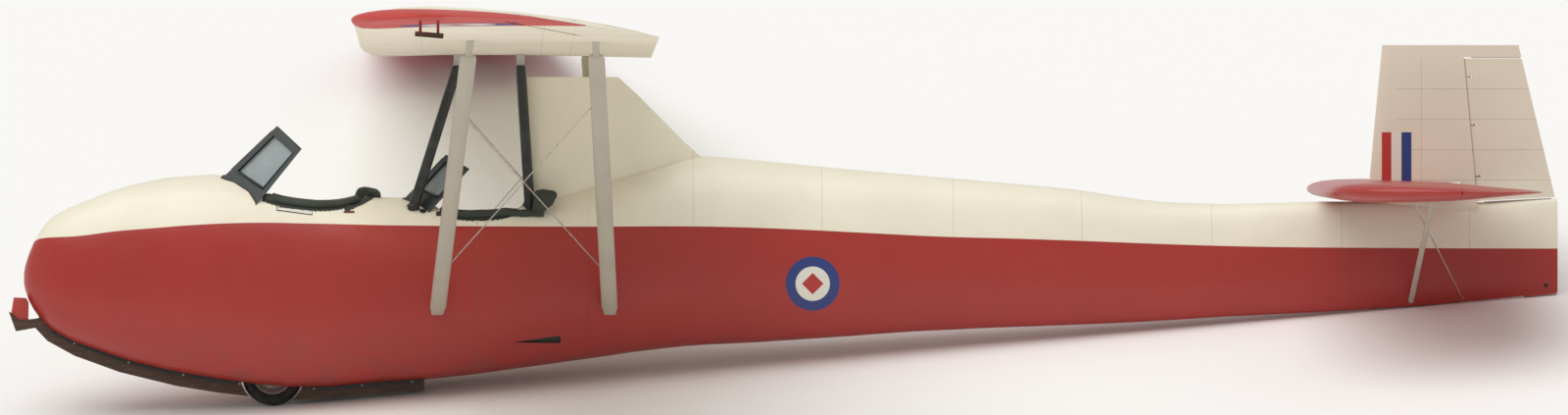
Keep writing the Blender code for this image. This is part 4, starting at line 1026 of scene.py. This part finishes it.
def flap(rim, first, last, inner, outer, tooth, side, count):
    """A toothed leather flap on the deck, from one share of a rim to another."""
    rows = []
    for i in range(count + 1):
        share = first + (last - first) * i / count
        edge = outer + (tooth if i % 4 < 2 else 0.0)
        row = []
        for grow in (inner, (inner + edge) / 2, edge):
            x, y = rim_point(rim, share, grow)
            point, up = on_deck(x, side * y)
            row.append(point + up * FLAP_LIFT)
        rows.append(row)
    return layered(rows, FLAP_THICK)


LACED = (("front", FRONT_RIM, 0.20, 0.640, 90), ("rear", REAR_RIM, 0.36, 0.700, 70))
for side, hand in HANDS:
    for seat, rim, first, last, count in LACED:
        leather = flap(rim, first, last, 0.002, 0.0175, 0.002, side, count)
        finished(leather, f"coaming_flap_{seat}_{hand}", LACING)
skirts = [flap(FRONT_RIM, 0.0, 0.325, 0.003, 0.031, 0.003, side, 56) for side in SIDES]
finished(joined(skirts), "headrest_skirt", LACING)


# A rounded end closes each rim where it meets its windscreen
RIM_ENDS = ((FRONT_RIM, 0.612, 0.630, 0.036), (REAR_RIM, 0.69, 0.705, 0.026))
END_RADIUS = 0.0192
for side, hand in HANDS:
    ends = []
    for rim, share, beyond, reach in RIM_ENDS:
        bpy.ops.object.select_all(action="DESELECT")
        bpy.ops.mesh.primitive_uv_sphere_add(segments=24, ring_count=14, radius=1)
        cap = bpy.context.object
        cap.data.transform(Matrix.Diagonal((END_RADIUS, END_RADIUS, reach, 1)))
        (x, y), (next_x, next_y) = rim_point(rim, share, 0), rim_point(rim, beyond, 0)
        deck = on_deck(x, side * (y + 0.004))[0]
        onward = on_deck(next_x, side * (next_y + 0.004))[0]
        deck.y = side * y
        onward.y = side * next_y
        ends.append(stand(cap, deck + Vector((0, 0, 0.005)), onward - deck))
    finished(joined(ends), "coaming_ends_" + hand, PAINT["padded_leather"], angle=80)


# Plates and marks on the hull's sides

def on_hull(front, rear, lift, thick, columns):
    """A plate bent to the hull's port side between two upright edges."""
    rows = []
    for i in range(columns + 1):
        x, high, low = (a + (b - a) * (i / columns) for a, b in zip(front, rear))
        row = []
        for z in (low, (low + high) / 2, high):
            point, normal = on_side(x, z, -1)
            row.append(point + normal * lift)
        rows.append(row)
    return layered(rows, thick)


# Name and finish, front and rear edge as (x, high z, low z), lift, thickness and columns
PLATES = (
    ("limits_placard_edge", BLACK_ENAMEL, (1.2295, 0.9125, 0.8950), (1.3935, 0.8955, 0.8735),
     0.0010, 0.0012, 10),
    ("limits_placard_face", WHITE_ENAMEL, (1.2325, 0.9095, 0.8985), (1.3905, 0.8925, 0.8770),
     0.0020, 0.0009, 10),
    ("leather_tab", BROWN_LEATHER, (1.537, 0.892, 0.8835), (1.586, 0.892, 0.8835), 0.0016, 0.002, 4),
    ("step_block", LACING, (1.960, 0.887, 0.870), (1.984, 0.887, 0.870), 0.003, 0.006, 4),
)
for name, finish, front, rear, lift, thick, columns in PLATES:
    finished(on_hull(front, rear, lift, thick, columns), name, finish)

eyelet = turned([(0.0095, 0), (0.0165, 0), (0.0150, 0.0035), (0.0110, 0.0040), (0.0095, 0.0028),
                 (0.0095, 0)], 24)
plug = turned([(0, 0.0002), (0.0098, 0.0002), (0.0098, 0.0016), (0, 0.0016)], 24)
places = [on_side(1.900, 0.892, side) for side in SIDES]
eyelets = copies(joined([eyelet, plug]), [(p + n * 0.0004, n) for p, n in places])
finished(eyelets, "cable_eyelets", BLACK_ENAMEL)
small = turned([(0.0035, 0), (0.0100, 0), (0.0090, 0.0025), (0.0045, 0.0030), (0.0035, 0.002),
                (0.0035, 0)], 18)
places = [on_side(7.058, 0.549, side) for side in SIDES]
finished(copies(small, [(p + n * 0.0004, n) for p, n in places]), "tail_drain_eyelets", BLACK_ENAMEL)


# Rubber seals in the gaps above and below the rudder, 2.5 mm clear of it

def seal(first, last):
    """A thin strip from one (x, low z, high z, half width) to another."""
    item = box((0, -1, 0), (1, 1, 1))
    for vertex in item.data.vertices:
        along, across, up = vertex.co
        x, low, high, half = (a + (b - a) * along for a, b in zip(first, last))
        vertex.co = Vector((x, across * half, low + (high - low) * up))
    return outward(item)


top_seal = seal((6.715, 1.5925, 1.5957, 0.012), (6.940, 1.5925, 1.5957, 0.003))
finished(top_seal, "rudder_top_seal", SEAL_RUBBER)
foot_seal = seal((6.775, 0.9285, 0.9335, 0.010), (7.085, 0.9450, 0.9500, 0.004))
finished(foot_seal, "rudder_foot_seal", SEAL_RUBBER)


# Rubber packing between hull and skids with its bolts, hub nuts and cabane feet

PACKING_DEPTH, PACKING_THICK = 0.015, 0.0026
BOLT_DROP = 0.009


def packing(first, last, half, count):
    """Two strips that fill the gap between the hull and a skid's edges."""
    strips = []
    for side in SIDES:
        rows = []
        for i in range(count + 1):
            x = first + (last - first) * i / count
            top = on_belly(x, side * half)[0].z - 0.0008
            rows.append([Vector((x, side * (half + 0.0016), z)) for z in (top - PACKING_DEPTH, top)])
        strips.append(layered(rows, PACKING_THICK))
    return joined(strips)


SKID_HALF = 0.045
SKID_BOLTS = (0.30, 0.55, 0.80, 1.058, 1.400, 1.62, 1.85)
NUT_CIRCLE = 0.052
finished(packing(0.20, 1.055, SKID_HALF, 40), "nose_skid_packing", BLACK_ENAMEL)
finished(packing(1.375, 1.890, SKID_HALF, 24), "rear_skid_packing", BLACK_ENAMEL)
bolt = round_edges(turned([(0, 0), (0.0060, 0), (0.0060, 0.004), (0, 0.004)], 6), 0.0008)
places = []
for x in SKID_BOLTS:
    for side in SIDES:
        height = on_belly(x, side * SKID_HALF)[0].z - BOLT_DROP
        places.append((Vector((x, side * (SKID_HALF + 0.0030), height)), Vector((0, side, 0))))
finished(copies(bolt, places), "skid_bolts", PAINT["bare_steel"])

nut = round_edges(turned([(0, 0), (0.0065, 0), (0.0065, 0.005), (0, 0.005)], 6), 0.0008)
places = []
hub_form = own_copy("wheel_hub", True)
hub_tree = BVHTree.FromObject(hub_form, bpy.context.evaluated_depsgraph_get())
bpy.data.objects.remove(hub_form, do_unlink=True)
for side in SIDES:
    for step in range(6):
        angle = math.radians(60 * step + 15)
        x, z = WHEEL.x + NUT_CIRCLE * math.cos(angle), WHEEL.z + NUT_CIRCLE * math.sin(angle)
        hit, _, _, _ = hub_tree.ray_cast(Vector((x, side, z)), Vector((0, -side, 0)))
        places.append((hit - Vector((0, side * 0.0004, 0)), Vector((0, side, 0))))
finished(copies(nut, places), "hub_nuts", PAINT["bare_steel"], body=nodes["wheel_hub"]["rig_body"])

flange = turned([(0.0240, 0), (0.0340, 0), (0.0340, 0.004), (0.0285, 0.006), (0.0265, 0.014),
                 (0.0240, 0.014), (0.0240, 0)], 24)
CABANES = (
    ((1.856, 0.190, 0.910), (2.059, 0.180, 1.557)),
    ((2.389, 0.203, 0.915), (2.347, 0.190, 1.557)),
)
places = []
for side in SIDES:
    for ends in CABANES:
        low, high = (Vector((x, side * y, z)) for x, y, z in ends)
        foot, _, _, _ = hull_tree.ray_cast(high, (low - high).normalized())
        places.append((foot + (high - low).normalized() * 0.003, high - low))
finished(copies(flange, places), "cabane_feet", PAINT["dark_enamel"])


# Stage: a plain pale floor and a studio's soft overhead light

FLOOR_SIZE = 600
SKY = 0.54
LAMP = 1.65
LAMP_SPREAD = 60
LAMP_WAY = Vector((-0.36, -0.46, 1.0))

bpy.data.objects.remove(hull_form, do_unlink=True)

bpy.ops.object.select_all(action="DESELECT")
bpy.ops.mesh.primitive_plane_add(size=FLOOR_SIZE, location=(0, 0, -0.0005))
floor = bpy.context.object
floor.name = "floor"
paper = bpy.data.materials.new("plain_floor")
paper.use_nodes = True
paper.node_tree.nodes["Principled BSDF"].inputs["Base Color"].default_value = linear("f8f7f5")
paper.node_tree.nodes["Principled BSDF"].inputs["Roughness"].default_value = 0.9
floor.data.materials.append(paper)

world = bpy.data.worlds.new("studio")
world.use_nodes = True
world.node_tree.nodes["Background"].inputs["Color"].default_value = linear("fbfaf8")
world.node_tree.nodes["Background"].inputs["Strength"].default_value = SKY
bpy.context.scene.world = world
bpy.context.scene.view_settings.view_transform = "Standard"

# One broad lamp over the port side of the nose, as a studio's overhead softbox
lamp = bpy.data.objects.new("softbox", bpy.data.lights.new("softbox", "SUN"))
lamp.data.energy = LAMP
lamp.data.angle = math.radians(LAMP_SPREAD)
overhead = PARKED.to_3x3() @ LAMP_WAY
lamp.rotation_euler = overhead.to_track_quat("Z", "Y").to_euler()
bpy.context.scene.collection.objects.link(lamp)
